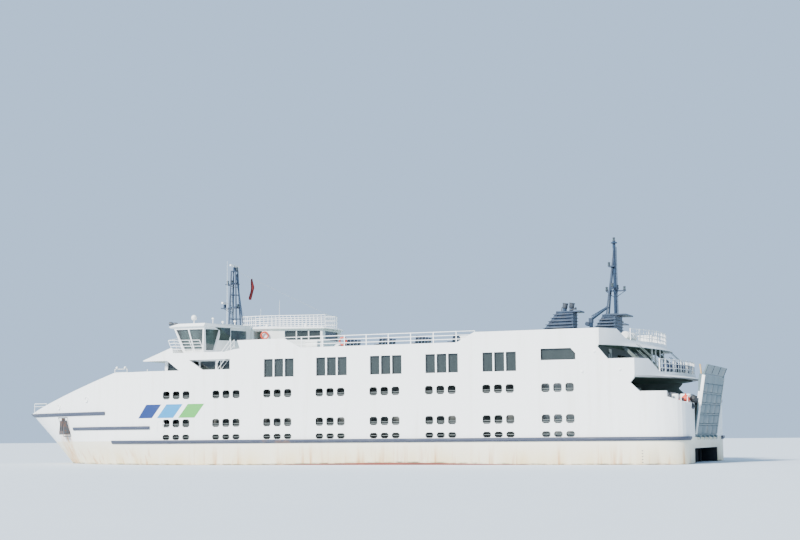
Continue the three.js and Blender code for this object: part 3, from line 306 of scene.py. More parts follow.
# The bow's painted bars: the first one's fore foot, their width, gap, height and slant
BARS = {"fore": 13.9, "width": 1.5, "gap": 0.45, "low": 3.72, "high": 4.82, "slant": 0.8}
BAR_COLOURS = ["#14306A", "#1384BD", "#4DA048"]


def painted_bars(paint, colour):
    """Three slanted bars of enamel on each bow, crisp edged."""
    z, low, high = paint.along("Z"), BARS["low"], BARS["high"]
    upright = {0: z, 1: BARS["slant"], 2: paint.along("X")}
    lean = paint.add("Math", upright, operation="MULTIPLY_ADD")
    start = BARS["fore"] + BARS["slant"] * low
    for shade in BAR_COLOURS:
        stop = start - BARS["width"]
        tall = (z, low, low + CRISP), (z, high, high - CRISP)
        wide = (lean, start, start - CRISP), (lean, stop, stop + CRISP)
        colour = paint.lay(colour, shade, *tall, *wide)
        start = stop - BARS["gap"]
    return colour


def rust_below_anchor(paint, colour):
    """Rust washed down from the anchor's pocket to the waterline."""
    x, z = paint.along("X"), paint.along("Z")
    runs = paint.patches(0.28, (1, 1, 9), 0.32, 0.62)
    return paint.lay(colour, "#D39A55", (x, 22.9, 23.9), (x, 25.6, 24.4), (z, 3.3, 2.2), runs)


LANES = {"centres": (-6.0, -3.0, 0.0, 3.0, 6.0), "half": 0.06}


def deck_colour(paint, lanes=False):
    """Green deck paint worn towards grey, with tyre marks and painted lane lines if it carries traffic."""
    colour = paint.lay("#6F8C7E", "#8E948C", paint.patches(1.7, (3, 1, 1), 0.35, 0.75), 0.6)
    if not lanes:
        return colour
    colour = paint.lay(colour, "#4A5450", paint.patches(0.5, (30, 1, 1), 0.5, 0.7), 0.5)
    y = paint.along("Y")
    for centre in LANES["centres"]:
        offset = paint.add("Math", {0: y, 1: centre * M}, operation="SUBTRACT")
        away = paint.add("Math", {0: offset}, operation="ABSOLUTE")
        colour = paint.lay(colour, "#E5DFC0", (away, LANES["half"], LANES["half"] - CRISP), 0.8)
    return colour


def level_faces(paint):
    """1 on faces that look up, and 0 on the others."""
    return paint.add("Math", {0: paint.facing("Z"), 1: LEVEL}, operation="GREATER_THAN")


def foredeck_paint(paint, colour):
    """Green deck paint on the foredeck: the well's floor and the sloping deck ahead of it."""
    floor_only = (paint.along("Z"), PASSENGER_DECK + 0.06, PASSENGER_DECK + 0.04)
    return paint.lay(colour, deck_colour(paint), floor_only, level_faces(paint))


def inside_painted_shade(paint, colour):
    """Dark grey-green painted shade on the shell's inner faces below the sun deck, so the decks look
    shaded.
    """
    outward = paint.add("Math", {0: paint.facing("Y"), 1: paint.along("Y")}, operation="MULTIPLY")
    inner = paint.add("Math", {0: outward, 1: -M}, operation="LESS_THAN")  # over 1 m off the centreline
    return paint.lay(colour, "#8C9894", inner, (paint.along("Z"), SUN_DECK, SUN_DECK - 0.05))


def white_enamel(name, extras=(), seams=True):
    """Gloss alkyd enamel rolled on steel plate: bright and slightly wavy, with weld seams, faint run-off
    streaks and a few rust specks."""
    paint = Finish(name, 0.42, coat=0.05)
    colour = paint.lay("#F5F6F4", "#D9D6C8", paint.patches(0.5, (1, 1, 14), 0.52, 0.78), 0.35)
    colour = paint.lay(colour, "#A8794E", paint.patches(0.09, (1, 1, 2.5), 0.74, 0.8), 0.6)
    for extra in extras:
        colour = extra(paint, colour)
    if seams:
        paint.relief(plate_seams(paint), 0.35, 0.01)
        paint.relief(paint.patches(1.6, low=0.2, high=0.8, detail=2.0), 0.18, 0.06)
    return paint.close(colour)


# Where the antifouling's edge leaves the water: the stations it climbs between, and its height amidships
FOULING = {"aft": -21, "fore": 4, "middle": -8.5, "high": 0.16}


def stained_hull():
    """Cream topside enamel, yellower in patches and rust-streaked towards the water, a red-brown
    antifouling below it with a slimed edge, and green deck paint on the vehicle deck with worn lane lines."""
    paint = Finish("stained_hull_enamel", 0.42)
    x, z = paint.along("X"), paint.along("Z")
    low = (z, 1.7, 0.0)
    colour = paint.lay("#F1EBD6", "#E2C68A", low, paint.patches(1.4, (1, 1, 3), 0.25, 0.75))
    colour = paint.lay(colour, "#C48540", low, paint.patches(0.45, (1, 1, 12), 0.55, 0.72), 0.9)
    colour = rust_below_anchor(paint, colour)
    climbs = {}
    for k, end in enumerate(("aft", "fore")):
        climb = {"Value": x, "From Min": FOULING[end] * M, "From Max": FOULING["middle"] * M}
        climb["To Max"] = FOULING["high"] * M
        climbs[k] = paint.add("MapRange", climb, interpolation_type="SMOOTHSTEP")
    edge = paint.add("Math", climbs, operation="MINIMUM")
    above = paint.add("Math", {0: z, 1: edge}, operation="SUBTRACT")
    slime = paint.patches(0.35, (2, 2, 0.4), 0.4, 0.6)
    colour = paint.lay(colour, "#5E6348", (above, 0.14, 0.03), slime)
    fouling = paint.lay("#8E4A3B", "#6E3B31", paint.patches(1.2, (2, 2, 0.6), 0.3, 0.7))
    colour = paint.lay(colour, fouling, (above, 0.04, 0.0))
    on_deck = (z, VEHICLE_DECK - 0.01, VEHICLE_DECK - 0.005)
    colour = paint.lay(colour, deck_colour(paint, lanes=True), on_deck, level_faces(paint))
    paint.relief(plate_seams(paint, 6.4, 1.2), 0.4, 0.012)
    paint.relief(paint.patches(1.1, low=0.2, high=0.8, detail=2.0), 0.25, 0.05)
    return paint.close(colour)


def deck_paint():
    """Matt two-pack deck paint with sharp sand rolled in, so it looks gritty and dull."""
    paint = Finish("non_slip_deck_paint", 0.85)
    grit = paint.patches(0.02, low=0.2, high=0.8, detail=2.0)  # real grit is 1 mm, drawn at 20 mm to show
    paint.relief(grit, 0.5, 0.004)
    return paint.close(deck_colour(paint))


def strake_enamel():
    """Satin blue-grey enamel on half-round steel fendering, scuffed pale along the middle and rust-stained
    where quays have rubbed it."""
    paint = Finish("scuffed_strake_enamel", 0.5)
    scuff = paint.patches(0.22, (7, 7, 0.5), 0.55, 0.72)
    colour = paint.lay("#3C4254", "#666A75", scuff, 0.4)
    colour = paint.lay(colour, "#755640", paint.patches(0.8, (2.5, 2.5, 1), 0.66, 0.72), 0.5)
    paint.relief(scuff, 0.3, 0.006)
    return paint.close(colour)


def tinted_glass(name, colour="#4C5452", clear=0.5):
    """Grey heat-absorbing float glass: dark, very smooth, with a faint mirror of the sky."""
    paint = Finish(name, 0.06, coat=0.3)
    paint.shader.inputs["Transmission Weight"].default_value = clear
    paint.shader.inputs["IOR"].default_value = 1.52
    paint.relief(paint.patches(0.9, low=0.2, high=0.8, detail=1.0), 0.04, 0.02)
    return paint.close(paint.lay(colour, "#434B49", paint.patches(0.7, (1, 1, 4), 0.3, 0.7)))


def blue_enamel():
    """Satin mid-blue enamel on the funnels, masts and crane, sooted in patches and chalking in the sun."""
    paint = Finish("funnel_blue_enamel", 0.45)
    chalk = paint.patches(0.5, (1, 1, 3), 0.4, 0.75)
    colour = paint.lay("#22374F", "#3E556C", chalk, 0.4)
    colour = paint.lay(colour, "#1A2232", paint.patches(0.35, low=0.45, high=0.7), 0.6)
    paint.relief(chalk, 0.1, 0.004)
    return paint.close(colour)


def ramp_enamel():
    """Blue-grey enamel on the ramp's ribbed steel, worn in patches and rust-washed from the joints."""
    paint = Finish("ramp_grey_enamel", 0.5)
    worn = paint.patches(0.6, (1, 1, 2.5), 0.35, 0.7)
    colour = paint.lay("#546A71", "#6E7E83", worn, 0.6)
    colour = paint.lay(colour, "#9C7C5A", paint.patches(0.3, (1, 1, 6), 0.62, 0.74), 0.6)
    paint.relief(worn, 0.15, 0.008)
    return paint.close(colour)


def bronze():
    """Cast nickel-aluminium bronze, ground along the blades, so it has a warm broken sheen."""
    paint = Finish("ground_bronze", 0.34, metallic=1.0)
    paint.relief(paint.patches(0.04, (6, 1, 1), 0.3, 0.7, 2.0), 0.2, 0.004)
    return paint.close(paint.lay("#B98A4A", "#7C6238", paint.patches(0.25, low=0.35, high=0.7)))


def rusting_iron():
    """Black bitumen paint on cast steel, thin on the edges and breaking into rust."""
    paint = Finish("rusting_cast_steel", 0.75)
    paint.relief(paint.patches(0.06, low=0.2, high=0.8, detail=3.0), 0.5, 0.008)
    return paint.close(paint.lay("#45484C", "#7A4F33", paint.patches(0.22, low=0.5, high=0.68), 0.8))


def plain_paint(name, colour, dull, roughness=0.45, metallic=0.0, size=0.25):
    """A brushed coat of enamel or a moulded colour that has dulled in patches."""
    paint = Finish(name, roughness, metallic)
    paint.relief(paint.patches(size / 4, low=0.2, high=0.8, detail=2.0), 0.15, 0.003)
    return paint.close(paint.lay(colour, dull, paint.patches(size, low=0.4, high=0.7), 0.7))


def bunting():
    """Woven polyester flag cloth: dull red, with its coarse plain weave drawn at 12 mm so that it shows."""
    paint = Finish("red_woven_bunting", 0.85)
    paint.shader.inputs["Sheen Weight"].default_value = 0.1
    weave = {"Vector": paint.places, "Scale": 1 / (0.012 * M)}
    paint.relief(paint.add("TexWave", weave, "Fac", bands_direction="Z"), 0.2, 0.002)
    return paint.close(paint.lay("#6E1218", "#560D14", paint.patches(0.3, low=0.35, high=0.7)))


TOPSIDES = white_enamel("white_topside_enamel")
BOW_TOPSIDES = white_enamel("white_bow_enamel", [painted_bars, rust_below_anchor, foredeck_paint])
# The sides' inner faces below the sun deck carry grey-green painted shade.
LOWER_SIDES = white_enamel("white_lower_side_enamel", [painted_bars, inside_painted_shade])
UPPER_SIDES = white_enamel("white_upper_side_enamel", [inside_painted_shade])
FITTINGS = white_enamel("white_fitting_enamel", seams=False)
HULL = stained_hull()
STRAKES = strake_enamel()
DECKS = deck_paint()
WINDOWS = tinted_glass("tinted_window_glass")
BRIDGE_WINDOWS = tinted_glass("tinted_bridge_glass", "#6A807E", 0.6)
BLUE = blue_enamel()
RAMP_STEEL = ramp_enamel()
BRONZE = bronze()
IRON = rusting_iron()
RUBBER = plain_paint("black_moulded_rubber", "#24272A", "#3A3D40", 0.7)
# Grey-green: partly the aft bulkhead's own enamel, partly painted shade under the sun deck; the stern
# stairs take it as painted shade.
AFT_GREEN_AND_SHADE = plain_paint("grey_green_enamel_and_shade", "#56625F", "#4A5552", 0.5)
GALVANISED = plain_paint("galvanised_steel", "#A7ADB0", "#8B9296", 0.4, 0.8, 0.12)
# Near-black painted shade for the recess under the ramp's sill.
RECESS_SHADE_BLACK = plain_paint("recess_painted_shade", "#14181C", "#22272B", 0.8)
# Dark grey painted shade for the sleeves in the vehicle deck's openings.
OPENING_SHADE = plain_paint("dark_grey_opening_shade", "#3E4342", "#343838", 0.6)
# Light grey for casings that stand in for the shade inside the vehicle deck.
CASING_SHADE_GREY = plain_paint("light_grey_shade_casing", "#A3A8A6", "#8D9391", 0.6)
# Grey on the openings' guard bars: painted shade of the openings they sit in.
BAR_SHADE_GREY = plain_paint("grey_bar_painted_shade", "#747A78", "#666C6A", 0.5)
DARK_PAINT = plain_paint("dark_grey_enamel", "#343A42", "#4A5058", 0.5)
TAN = plain_paint("buff_enamel", "#C9A878", "#B18F62", 0.5)
ORANGE = plain_paint("orange_moulded_polythene", "#D3482E", "#B93E2B", 0.5)
GRP = plain_paint("white_moulded_glass_fibre", "#ECEDEA", "#D8D9D3", 0.35)
ROPE_FIBRE = plain_paint("laid_polypropylene_rope", "#C9C2A8", "#A79F86", 0.9, 0.0, 0.05)
SEAT = plain_paint("blue_moulded_seats", "#22314F", "#1B2740", 0.4)
BUNTING = bunting()

# The start of a solid's name, and its finish. The other solids are painted as fittings.
NODE_FINISHES = {
    "hull": HULL, "rudder": HULL, "bow_shell": BOW_TOPSIDES, "lower_side": LOWER_SIDES,
    "stern_quarter": UPPER_SIDES, "upper_side": UPPER_SIDES, "bow_strake": STRAKES,
    "middle_strake": STRAKES, "main_strake": STRAKES, "passenger_deck": DECKS, "sun_deck": DECKS,
    "passenger_deck_edge": TOPSIDES, "sun_deck_edge": TOPSIDES, "passenger_deck_rail": FITTINGS,
    "sun_deck_rail": FITTINGS, "canopy": TOPSIDES, "side_glass": WINDOWS, "lounge_front_glass": WINDOWS,
    "deckhouse_glass": WINDOWS, "wheelhouse_glass": BRIDGE_WINDOWS, "lounge_aft": AFT_GREEN_AND_SHADE,
    "funnel": BLUE, "fore_mast": BLUE, "aft_mast": BLUE, "crane": BLUE, "radar": GRP,
    "stern_ramp": RAMP_STEEL, "ramp_flap": RAMP_STEEL, "propeller": BRONZE, "anchor": IRON,
}


def dress_solids():
    """Gives every solid of the frame its finish, by the longest name that fits it."""
    for name, solid in frame["nodes"].items():
        fits = [start for start in NODE_FINISHES if name.startswith(start)]
        solid.data.materials.clear()
        solid.data.materials.append(NODE_FINISHES[max(fits, key=len)] if fits else FITTINGS)


SHELL_ANGLE = 24  # shell facets that meet at fewer degrees shade as one surface
SMOOTHED = [
    "hull", "bow_shell", "bow_strake", "middle_strake_port", "middle_strake_starboard", "main_strake_port",
    "main_strake_starboard", "stern_quarter_port", "stern_quarter_starboard", "passenger_deck_edge",
    "sun_deck_edge",
]


def smooth_plating():
    """Stands merged copies in for the curved shell's loose facets, so that its plating shades smoothly."""
    for name in SMOOTHED:
        solid = frame["nodes"][name]
        bpy.ops.object.select_all(action="DESELECT")
        piece = bpy.data.objects.new(name + "_plating", solid.data.copy())
        bpy.context.scene.collection.objects.link(piece)
        piece.select_set(True)
        bpy.context.view_layer.objects.active = piece
        bpy.ops.object.mode_set(mode="EDIT")
        bpy.ops.mesh.select_all(action="SELECT")
        bpy.ops.mesh.remove_doubles(threshold=0.00005)
        bpy.ops.object.mode_set(mode="OBJECT")
        bpy.ops.object.shade_smooth_by_angle(angle=math.radians(SHELL_ANGLE))
        for face in piece.data.polygons:
            if abs(face.normal.z) > LEVEL:
                face.use_smooth = False
        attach(piece, "ship")
        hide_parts(name)


# Rails, walkways and stairs

WING_RAIL = {"fore": 10.53, "aft": 7.67, "inner": 7.2, "y": 8.78, "lean": 0.43, "height": 0.98}
WING_STAIR = ((6.56, PASSENGER_DECK + 1.1), (5.35, CANOPY_TOP))


def wing_rails():
    """Railings round each wing of the wheelhouse, raked forward, and the rails of the stair beside it."""
    rail, z = WING_RAIL, CANOPY_TOP
    corners = [(rail["inner"], z + 0.3), (rail["y"], z + 0.05)]
    path = [*((rail["fore"], *place) for place in corners), (rail["aft"], rail["y"], z)]
    railing(path, rail["height"], 1.05, 4, 0.045, 0.05, rail["lean"])
    (fore, low), (aft, high) = WING_STAIR
    for y in (8.1, 8.7):
        for rise in (0, 0.55, 0.95):
            rod((fore, y, low + rise), (aft, y, high + rise), 0.05)
        for x, foot in WING_STAIR:
            rod((x, y, foot), (x, y, foot + 0.95), 0.05)
    both_sides()


ROOF_RAIL = {"aft": 0.62, "step": 5.9, "fore": 8.24, "half": 1.17, "height": 1.05}


def roof_rail():
    """The railed observation platform along the deckhouse and wheelhouse roofs."""
    rail, roof = ROOF_RAIL, ROOF - 0.02
    feet = ((rail["fore"], roof), (rail["step"], roof), (rail["aft"], HOUSE_ROOF - 0.05))
    port = [(x, rail["half"], z) for x, z in feet]
    starboard = [(x, -y, z) for x, y, z in reversed(port)]
    railing([*port, *starboard, port[0]], rail["height"], 0.36)


def bow_rail():
    """A short railing at the stemhead."""
    fore, aft, top = 29.25, 28, 5.25
    for y in (1, -1):
        for x, foot in ((fore, 4.4), (aft, 4.7)):
            rod((x, y, foot), (x, y, top), 0.05)
    for z, bar in ((top, 0.05), (5, 0.04)):
        for y in (1, -1):
            rod((aft, y, z), (fore, y, z), bar)
        rod((fore, 1, z), (fore, -1, z), bar)


# Wheelhouse fittings

def radome():
    """A small satellite radome on its pole over the port wing."""
    foot = (10.2, 6, ROOF - 0.15)
    dome = [(0, 0.62), (0.13, 0.63), (0.21, 0.7), (0.24, 0.82), (0.22, 0.94), (0.13, 1.04), (0, 1.08)]
    turned(foot, dome)
    turned(foot, [(0, 0), (0.1, 0), (0.045, 0.23), (0.045, 0.65), (0, 0.65)])


def searchlights():
    """A pair of searchlights on brackets at the roof's fore corners."""
    outline = [(0, -0.16), (0.09, -0.16), (0.15, -0.05), (0.16, 0.16), (0.13, 0.17), (0, 0.14)]
    for y in (7.9, 7.2):
        turned((11.2, y, 11.32), outline, (1, 0, 0))
        rod((11.15, y, 10.99), (11.15, y, 11.2), 0.08)
    both_sides()


HALYARD = {"head": (9.5, 16.3), "foot": (0.62, HOUSE_ROOF + 0.95)}
FLAG = {"x": 8.02, "folds": (0.12, -0.1, 0.14, -0.12, 0.1)}
FLAG_FALL = [  # each row's drop, the shift of its middle, and its spread over the row above
    (0.26, -0.02, 2), (0.26, -0.06, 1.6), (0.28, -0.05, 1.3), (0.22, 0.06, 0.72), (0.28, 0.08, 1.1),
    (0.28, 0.09, 1.1), (0.24, 0.05, 0.8),
]


def flag():
    """The red flag hanging limp from the halyard, gathered in loose folds."""
    (x, z), (aft, low) = HALYARD["head"], HALYARD["foot"]
    share = (x - FLAG["x"]) / (x - aft)
    x, z, last = FLAG["x"], z + (low - z) * share, len(FLAG["folds"]) - 1
    draw([(x + 0.04 - 0.08 * k / last, y, z) for k, y in enumerate(FLAG["folds"])])
    bpy.ops.mesh.select_all(action="SELECT")
    for drop, shift, spread in FLAG_FALL:
        bpy.ops.mesh.extrude_edges_move(TRANSFORM_OT_translate={"value": (shift * M, 0, -drop * M)})
        x, z = x + shift, z - drop
        bpy.ops.transform.resize(
            value=(spread, 1, 1), center_override=Vector((x, 0, z)) * M, orient_type="GLOBAL"
        )
    modify("SUBSURF", levels=2, render_levels=2)


def hang_flag():
    cloth = build(flag, BUNTING, smooth=180)


def halyard():
    """A wire from the masthead down to the roof rail, which the flag hangs from."""
    (x, z), (aft, low) = HALYARD["head"], HALYARD["foot"]
    rod((x, 0, z), (aft, 0, low), 0.025, 6)


# The ship's sides

GROUPS = {"count": 8, "spacing": 4.49, "fore": 11.4, "pitch": 0.9}
OPENING = {"width": 0.63, "corner": 0.12, "liner": 0.015}
OPENING_ROWS = [
    {"low": 1.99, "high": 2.4, "bars": (0.2,)},
    {"low": 2.975, "high": 3.605, "bars": (0.1, 0.24)},
    {"low": 5.205, "high": 5.835, "bars": (0.1, 0.24)},
]
PANE = {"fore": 2.37, "width": 0.78, "low": 6.78, "high": 8.19, "groups": 5}
STAIR_WINDOW = [(-20.03, 7.5), (-20.03, 8.34), (-22.27, 8.34), (-22.62, 7.95), (-22.62, 7.5)]


def on_side(points, y):
    """(x, z) points on the port side, at a breadth."""
    return [(x, y, z) for x, z in points]


def rounded(fore, aft, low, high, cut):
    """A rounded outline of (x, z) points."""
    return [
        (aft, low + cut), (aft + cut, low), (fore - cut, low), (fore, low + cut),
        (fore, high - cut), (fore - cut, high), (aft + cut, high), (aft, high - cut),
    ]


def every_group(groups):
    """Repeats the open mesh across a group of three, and then along the side."""
    for step, count in ((GROUPS["pitch"], 2), (GROUPS["spacing"], groups - 1)):
        bpy.ops.mesh.select_all(action="SELECT")
        for _ in range(count):
            bpy.ops.mesh.duplicate_move(TRANSFORM_OT_translate={"value": (-step * M, 0, 0)})


def opening_liners():
    """Dark sleeves through the openings in the vehicle deck's sides, as painted shade of the unlit deck
    inside.
    """
    fore, aft = GROUPS["fore"], GROUPS["fore"] - OPENING["width"]
    for row in OPENING_ROWS:
        outline = rounded(fore, aft, row["low"], row["high"], OPENING["corner"])
        flange(on_side(outline, HALF_BEAM - 0.23), OPENING["liner"], (0, 0.24, 0))
    every_group(GROUPS["count"])
    both_sides()


CASING = {"aft": -22.6, "fore": 11.6, "inner": 6.3, "first": -22.3, "frames": 16}


def vehicle_deck_casings():
    """Framed casings along the vehicle deck, inboard of the openings, that stand in for the shade seen
    through them.
    """
    aft, fore, y = CASING["aft"], CASING["fore"], CASING["inner"]
    low, high = VEHICLE_DECK - 0.01, corner("passenger_deck", False).z + 0.02
    block((aft, y, low), (fore, y + 0.06, high))
    for k in range(CASING["frames"]):
        x = CASING["first"] + GROUPS["spacing"] / 2 * k
        block((x, y + 0.04, low), (x + 0.09, y + 0.22, high))
    block((aft, y + 0.04, 4.4), (fore, y + 0.16, 4.5))
    both_sides()


def opening_bars():
    """Guard bars across the foot of each opening."""
    fore, aft = GROUPS["fore"] + 0.03, GROUPS["fore"] - OPENING["width"] - 0.03
    for row in OPENING_ROWS:
        for rise in row["bars"]:
            z = row["low"] + rise
            rod((fore, HALF_BEAM - 0.1, z), (aft, HALF_BEAM - 0.1, z), 0.055, 6)
    every_group(GROUPS["count"])
    both_sides()


def window_gaskets():
    """Rubber gaskets round the lounge's side windows."""
    fore, aft = PANE["fore"] + 0.005, PANE["fore"] - PANE["width"] - 0.005
    outline = rounded(fore, aft, PANE["low"] - 0.005, PANE["high"] + 0.005, 0.03)
    flange(on_side(outline, HALF_BEAM - 0.06), 0.025, (0, 0.03, 0))
    every_group(PANE["groups"])
    flange(on_side(STAIR_WINDOW, HALF_BEAM - 0.06), 0.025, (0, 0.03, 0))
    both_sides()


def flight(foot, head, breadths, deep, steps, tread):
    """A flight of stairs: two strings that are deep along the ship, and the treads between them, each from
    a low (x, y) to a high one."""
    foot, head, deep = Vector(foot), Vector(head), Vector((deep, 0, 0))
    for y in breadths:
        bottom, top = foot + Vector((0, y, 0)), head + Vector((0, y, 0))
        plate([bottom, top, top + deep, bottom + deep], (0, 0.05, 0))
    for k in range(1, steps):
        step = foot.lerp(head, k / steps)
        (aft, inner), (fore, outer) = tread
        block((step.x + aft, inner, step.z - 0.04), (step.x + fore, outer, step.z))


def stair_flights():
    """The stairs behind the aft windows of the lounge, from the lounge up to the sun deck."""
    foot, head = Vector((-23.1, 0, PASSENGER_DECK)), Vector((-20.2, 0, SUN_DECK - 0.2))
    flight(foot, head, (8.35, 7.45), -0.35, 12, ((-0.35, 7.5), (-0.1, 8.35)))
    for high in (0.4, 0.75):
        rail = Vector((-0.35, 8.36, high))
        rod(foot + rail, head + rail - Vector((0.9, 0, 0.75)), 0.05)
    both_sides()


def side_rail_ends():
    """Where the side rail's bars run on to meet the bulwark's slopes."""
    y = HALF_BEAM - 0.08
    for fore, aft, z in ((-0.3, -14.1, 9.251), (0.22, -14.62, 9.535), (0.62, -15, 9.818)):
        rod((-0.88, y, z), (fore, y, z), 0.05, 6)
        rod((-13.52, y, z), (aft, y, z), 0.05, 6)
    for x in (0.62, -15):
        rod((x, y, 9.6), (x, y, 9.84), 0.05, 6)
    both_sides()


SIDE_DOOR = {"fore": 11.92, "aft": 11.3, "low": 2.5, "high": 3.5}
EYES = ((-24, 8.03), (-25.85, 6.7), (-23.1, 6.62))
EYE_RIM = [(0, 0), (0.1, 0), (0.1, 0.03), (0.07, 0.045), (0, 0.045)]


def side_details():
    """The pilot door's frame and hinges, and the small round lights in the ship's quarters."""
    door = SIDE_DOOR
    outline = rounded(door["fore"], door["aft"], door["low"], door["high"], 0.1)
    flange(on_side(outline, HALF_BEAM - 0.01), 0.035, (0, 0.03, 0))
    for z in (2.7, 3.25):
        block((11.22, HALF_BEAM - 0.01, z), (11.4, HALF_BEAM + 0.04, z + 0.07), 0.012)
    for x, z in EYES:
        turned((x, HALF_BEAM, z), EYE_RIM, ACROSS, 14)
    both_sides()


def draught_ticks():
    """Weld-bead ticks for the draught, at the stern."""
    for k in range(5):
        z = 0.15 + 0.2 * k
        block((-27.35, HALF_BEAM - 0.03, z), (-27.25, HALF_BEAM + 0.01, z + 0.05), 0.008)
    both_sides()


# Masts, funnels and crane

def ladder(foot, head, half, rung=0.34):
    """Two stringers and round rungs between two points."""
    foot, head, out = Vector(foot), Vector(head), Vector((0, half, 0))
    for side in (out, -out):
        rod(foot + side, head + side, 0.045, 6)
    count = int((head - foot).length / rung)
    for k in range(1, count):
        step = foot.lerp(head, k / count)
        rod(step + out, step - out, 0.03, 6)


def mast_ladders():
    """The ladders up both masts."""
    ladder((10.06, 0, ROOF), (9.93, 0, 15.9), 0.15)
    ladder((-23.7, 0, FUNNEL_LID), (-23.66, 0, 16.6), 0.14)


LAMPS = [
    (10.35, 0, 15.22), (10, -0.12, 15.22), (9.35, 0, 13.17), (9.4, 0.1, 16.35),
    (-24.26, 0, 13.2), (-22.86, 0, 13.2), (-23.52, 0.82, 13.4), (-23.52, -0.82, 13.4),
    (-23.14, 0.2, 15.1), (-23.52, 0, 17.04),
]


def lamp_housings():
    """The navigation lamps' feet and caps, on both masts."""
    for x, y, z in LAMPS:
        turned((x, y, z), [(0, -0.02), (0.1, -0.02), (0.11, 0.07), (0.08, 0.08), (0, 0.08)], steps=14)
        turned((x, y, z), [(0, 0.2), (0.1, 0.2), (0.11, 0.24), (0.06, 0.3), (0, 0.31)], steps=14)


def lamp_lenses():
    """The ribbed lenses between the lamps' feet and caps."""
    lens = [(0, 0.07), (0.08, 0.07), (0.09, 0.1), (0.085, 0.13), (0.09, 0.16), (0.08, 0.21), (0, 0.21)]
    for place in LAMPS:
        turned(place, lens, steps=14)


def mast_spars():
    """The fore mast's spreader with its halyard blocks, and the struts under both masts' platforms."""
    rod((9.68, -0.7, 14.3), (9.68, 0.7, 14.3), 0.05)
    for x in (-24.3, -22.85):
        rod((-23.5, 0, 12.6), (x, 0, 13.12), 0.05)
    pulley = [(0, 0), (0.04, 0.02), (0.05, 0.06), (0.03, 0.12), (0, 0.12)]
    for side in (1, -1):
        rod((9.5, 0.19 * side, 14.9), (10.45, 0, 15.16), 0.05)
        rod((9.9, 0.25 * side, 12.7), (10.6, 0.3 * side, 13.12), 0.05)
        rod((-23.5, 0, 12.9), (-23.5, 0.85 * side, 13.32), 0.05)
        turned((9.68, 0.68 * side, 14.2), pulley, steps=10)


def stays():
    """Wires from the aft masthead to bottlescrews on the middle funnel's plate, and from the fore mast's
    spreader to the roof."""
    for y in (0.25, -0.25):
        rod((-23.52, y * 0.3, 16.9), (-22.84, y, FUNNEL_LID - 0.02), 0.03, 6)
        rod((-22.84, y, FUNNEL_LID - 0.05), (-22.88, y, FUNNEL_LID + 0.35), 0.06)
        rod((9.68, y * 2.7, 14.3), (9, y * 4.6, ROOF - 0.02), 0.02, 6)


def whip_aerials():
    """Whip aerials on stub posts, tapering to their tips."""
    for x, y, foot, tip in ((9.95, 0.85, ROOF, 17.15), (7, -3.2, ROOF, 14), (8.2, -2, ROOF, 13.2)):
        high = tip - foot
        outline = [(0, 0), (0.07, 0), (0.05, 0.06), (0.035, 0.5), (0.02, 0.55), (0.008, high), (0, high)]
        turned((x, y, foot - 0.03), outline, steps=10)


SIDE_FUNNEL = {"half": 0.6, "aft": -22.2, "foot": -19.14, "head": -21, "top": 11.05}
FUNNELS = [
    {**SIDE_FUNNEL, "y": 7.1}, {**SIDE_FUNNEL, "y": -7.1},
    {"y": 0, "half": 1.2, "aft": -23.75, "foot": -21.2, "head": -22.8, "top": 11.22},
]
FIN = {"first": 9.64, "spacing": 0.24, "thick": 0.045, "out": 0.07}


def funnel_fins():
    """Horizontal fins round the funnels, stepping back with the raked fronts."""
    for funnel in FUNNELS:
        z = FIN["first"]
        while z + FIN["thick"] < funnel["top"] - 0.1:
            share = (z - SUN_DECK) / (funnel["top"] - SUN_DECK)
            fore = funnel["foot"] + (funnel["head"] - funnel["foot"]) * share
            aft, half = funnel["aft"] - FIN["out"], funnel["half"] + FIN["out"]
            high = (fore + 0.12, funnel["y"] + half, z + FIN["thick"])
            block((aft, funnel["y"] - half, z), high, 0.012)
            z += FIN["spacing"]


def funnel_tops():
    """Cowls over the exhaust pipes, a thin drain pipe and the whistle on each side funnel's plate."""
    axis = Vector((-0.1, 0, 0.6)).normalized()
    cowl = [
        (0, -0.34), (0.17, -0.34), (0.19, -0.3), (0.19, -0.02), (0.22, 0), (0.22, 0.05), (0.15, 0.05),
        (0.15, -0.2), (0, -0.2),
    ]
    for x in (-21.4, -21.9):
        turned((x - 0.1, 7.1, 11.67), cowl, axis, 16)
    rod((-21.1, 6.8, 11), (-21.15, 6.8, 11.45), 0.08)
    whistle = [(0, -0.3), (0.05, -0.3), (0.05, 0), (0.11, 0.18), (0.09, 0.18), (0, 0.02)]
    turned((-22.2, 7.35, 11.25), whistle, (-1, 0, 0.25), 14)
    rod((-22.1, 7.35, 11.05), (-22.1, 7.35, 11.25), 0.06)
    both_sides()


CRANE = {"x": -22.75, "y": 4.6, "pin": 10.63, "tip": (-24, 11.5)}


def crane_lattice():
    """Chords and lacing round the crane's boom, with the sheave at its head."""
    foot = Vector((CRANE["x"], CRANE["y"], CRANE["pin"]))
    head = Vector((CRANE["tip"][0], CRANE["y"], CRANE["tip"][1]))
    along = (head - foot).normalized()
    rise = Vector((along.z, 0, -along.x))
    chords = []
    for side in (-0.09, 0.09):
        start = foot + along * 0.2 + rise * 0.2 + Vector((0, side, 0))
        stop = head + rise * 0.06 + Vector((0, side * 0.4, 0))
        rod(start, stop, 0.035, 6)
        chords.append((start, stop))
    for start, stop in chords:
        for k in range(7):
            low = foot.lerp(head, (k + 0.6) / 7)
            rod(start.lerp(stop, k / 7), low, 0.022, 5)
            rod(low, start.lerp(stop, (k + 1) / 7), 0.022, 5)
    turned(head, [(0, -0.05), (0.11, -0.05), (0.08, 0), (0.11, 0.05), (0, 0.05)], ACROSS, 16)


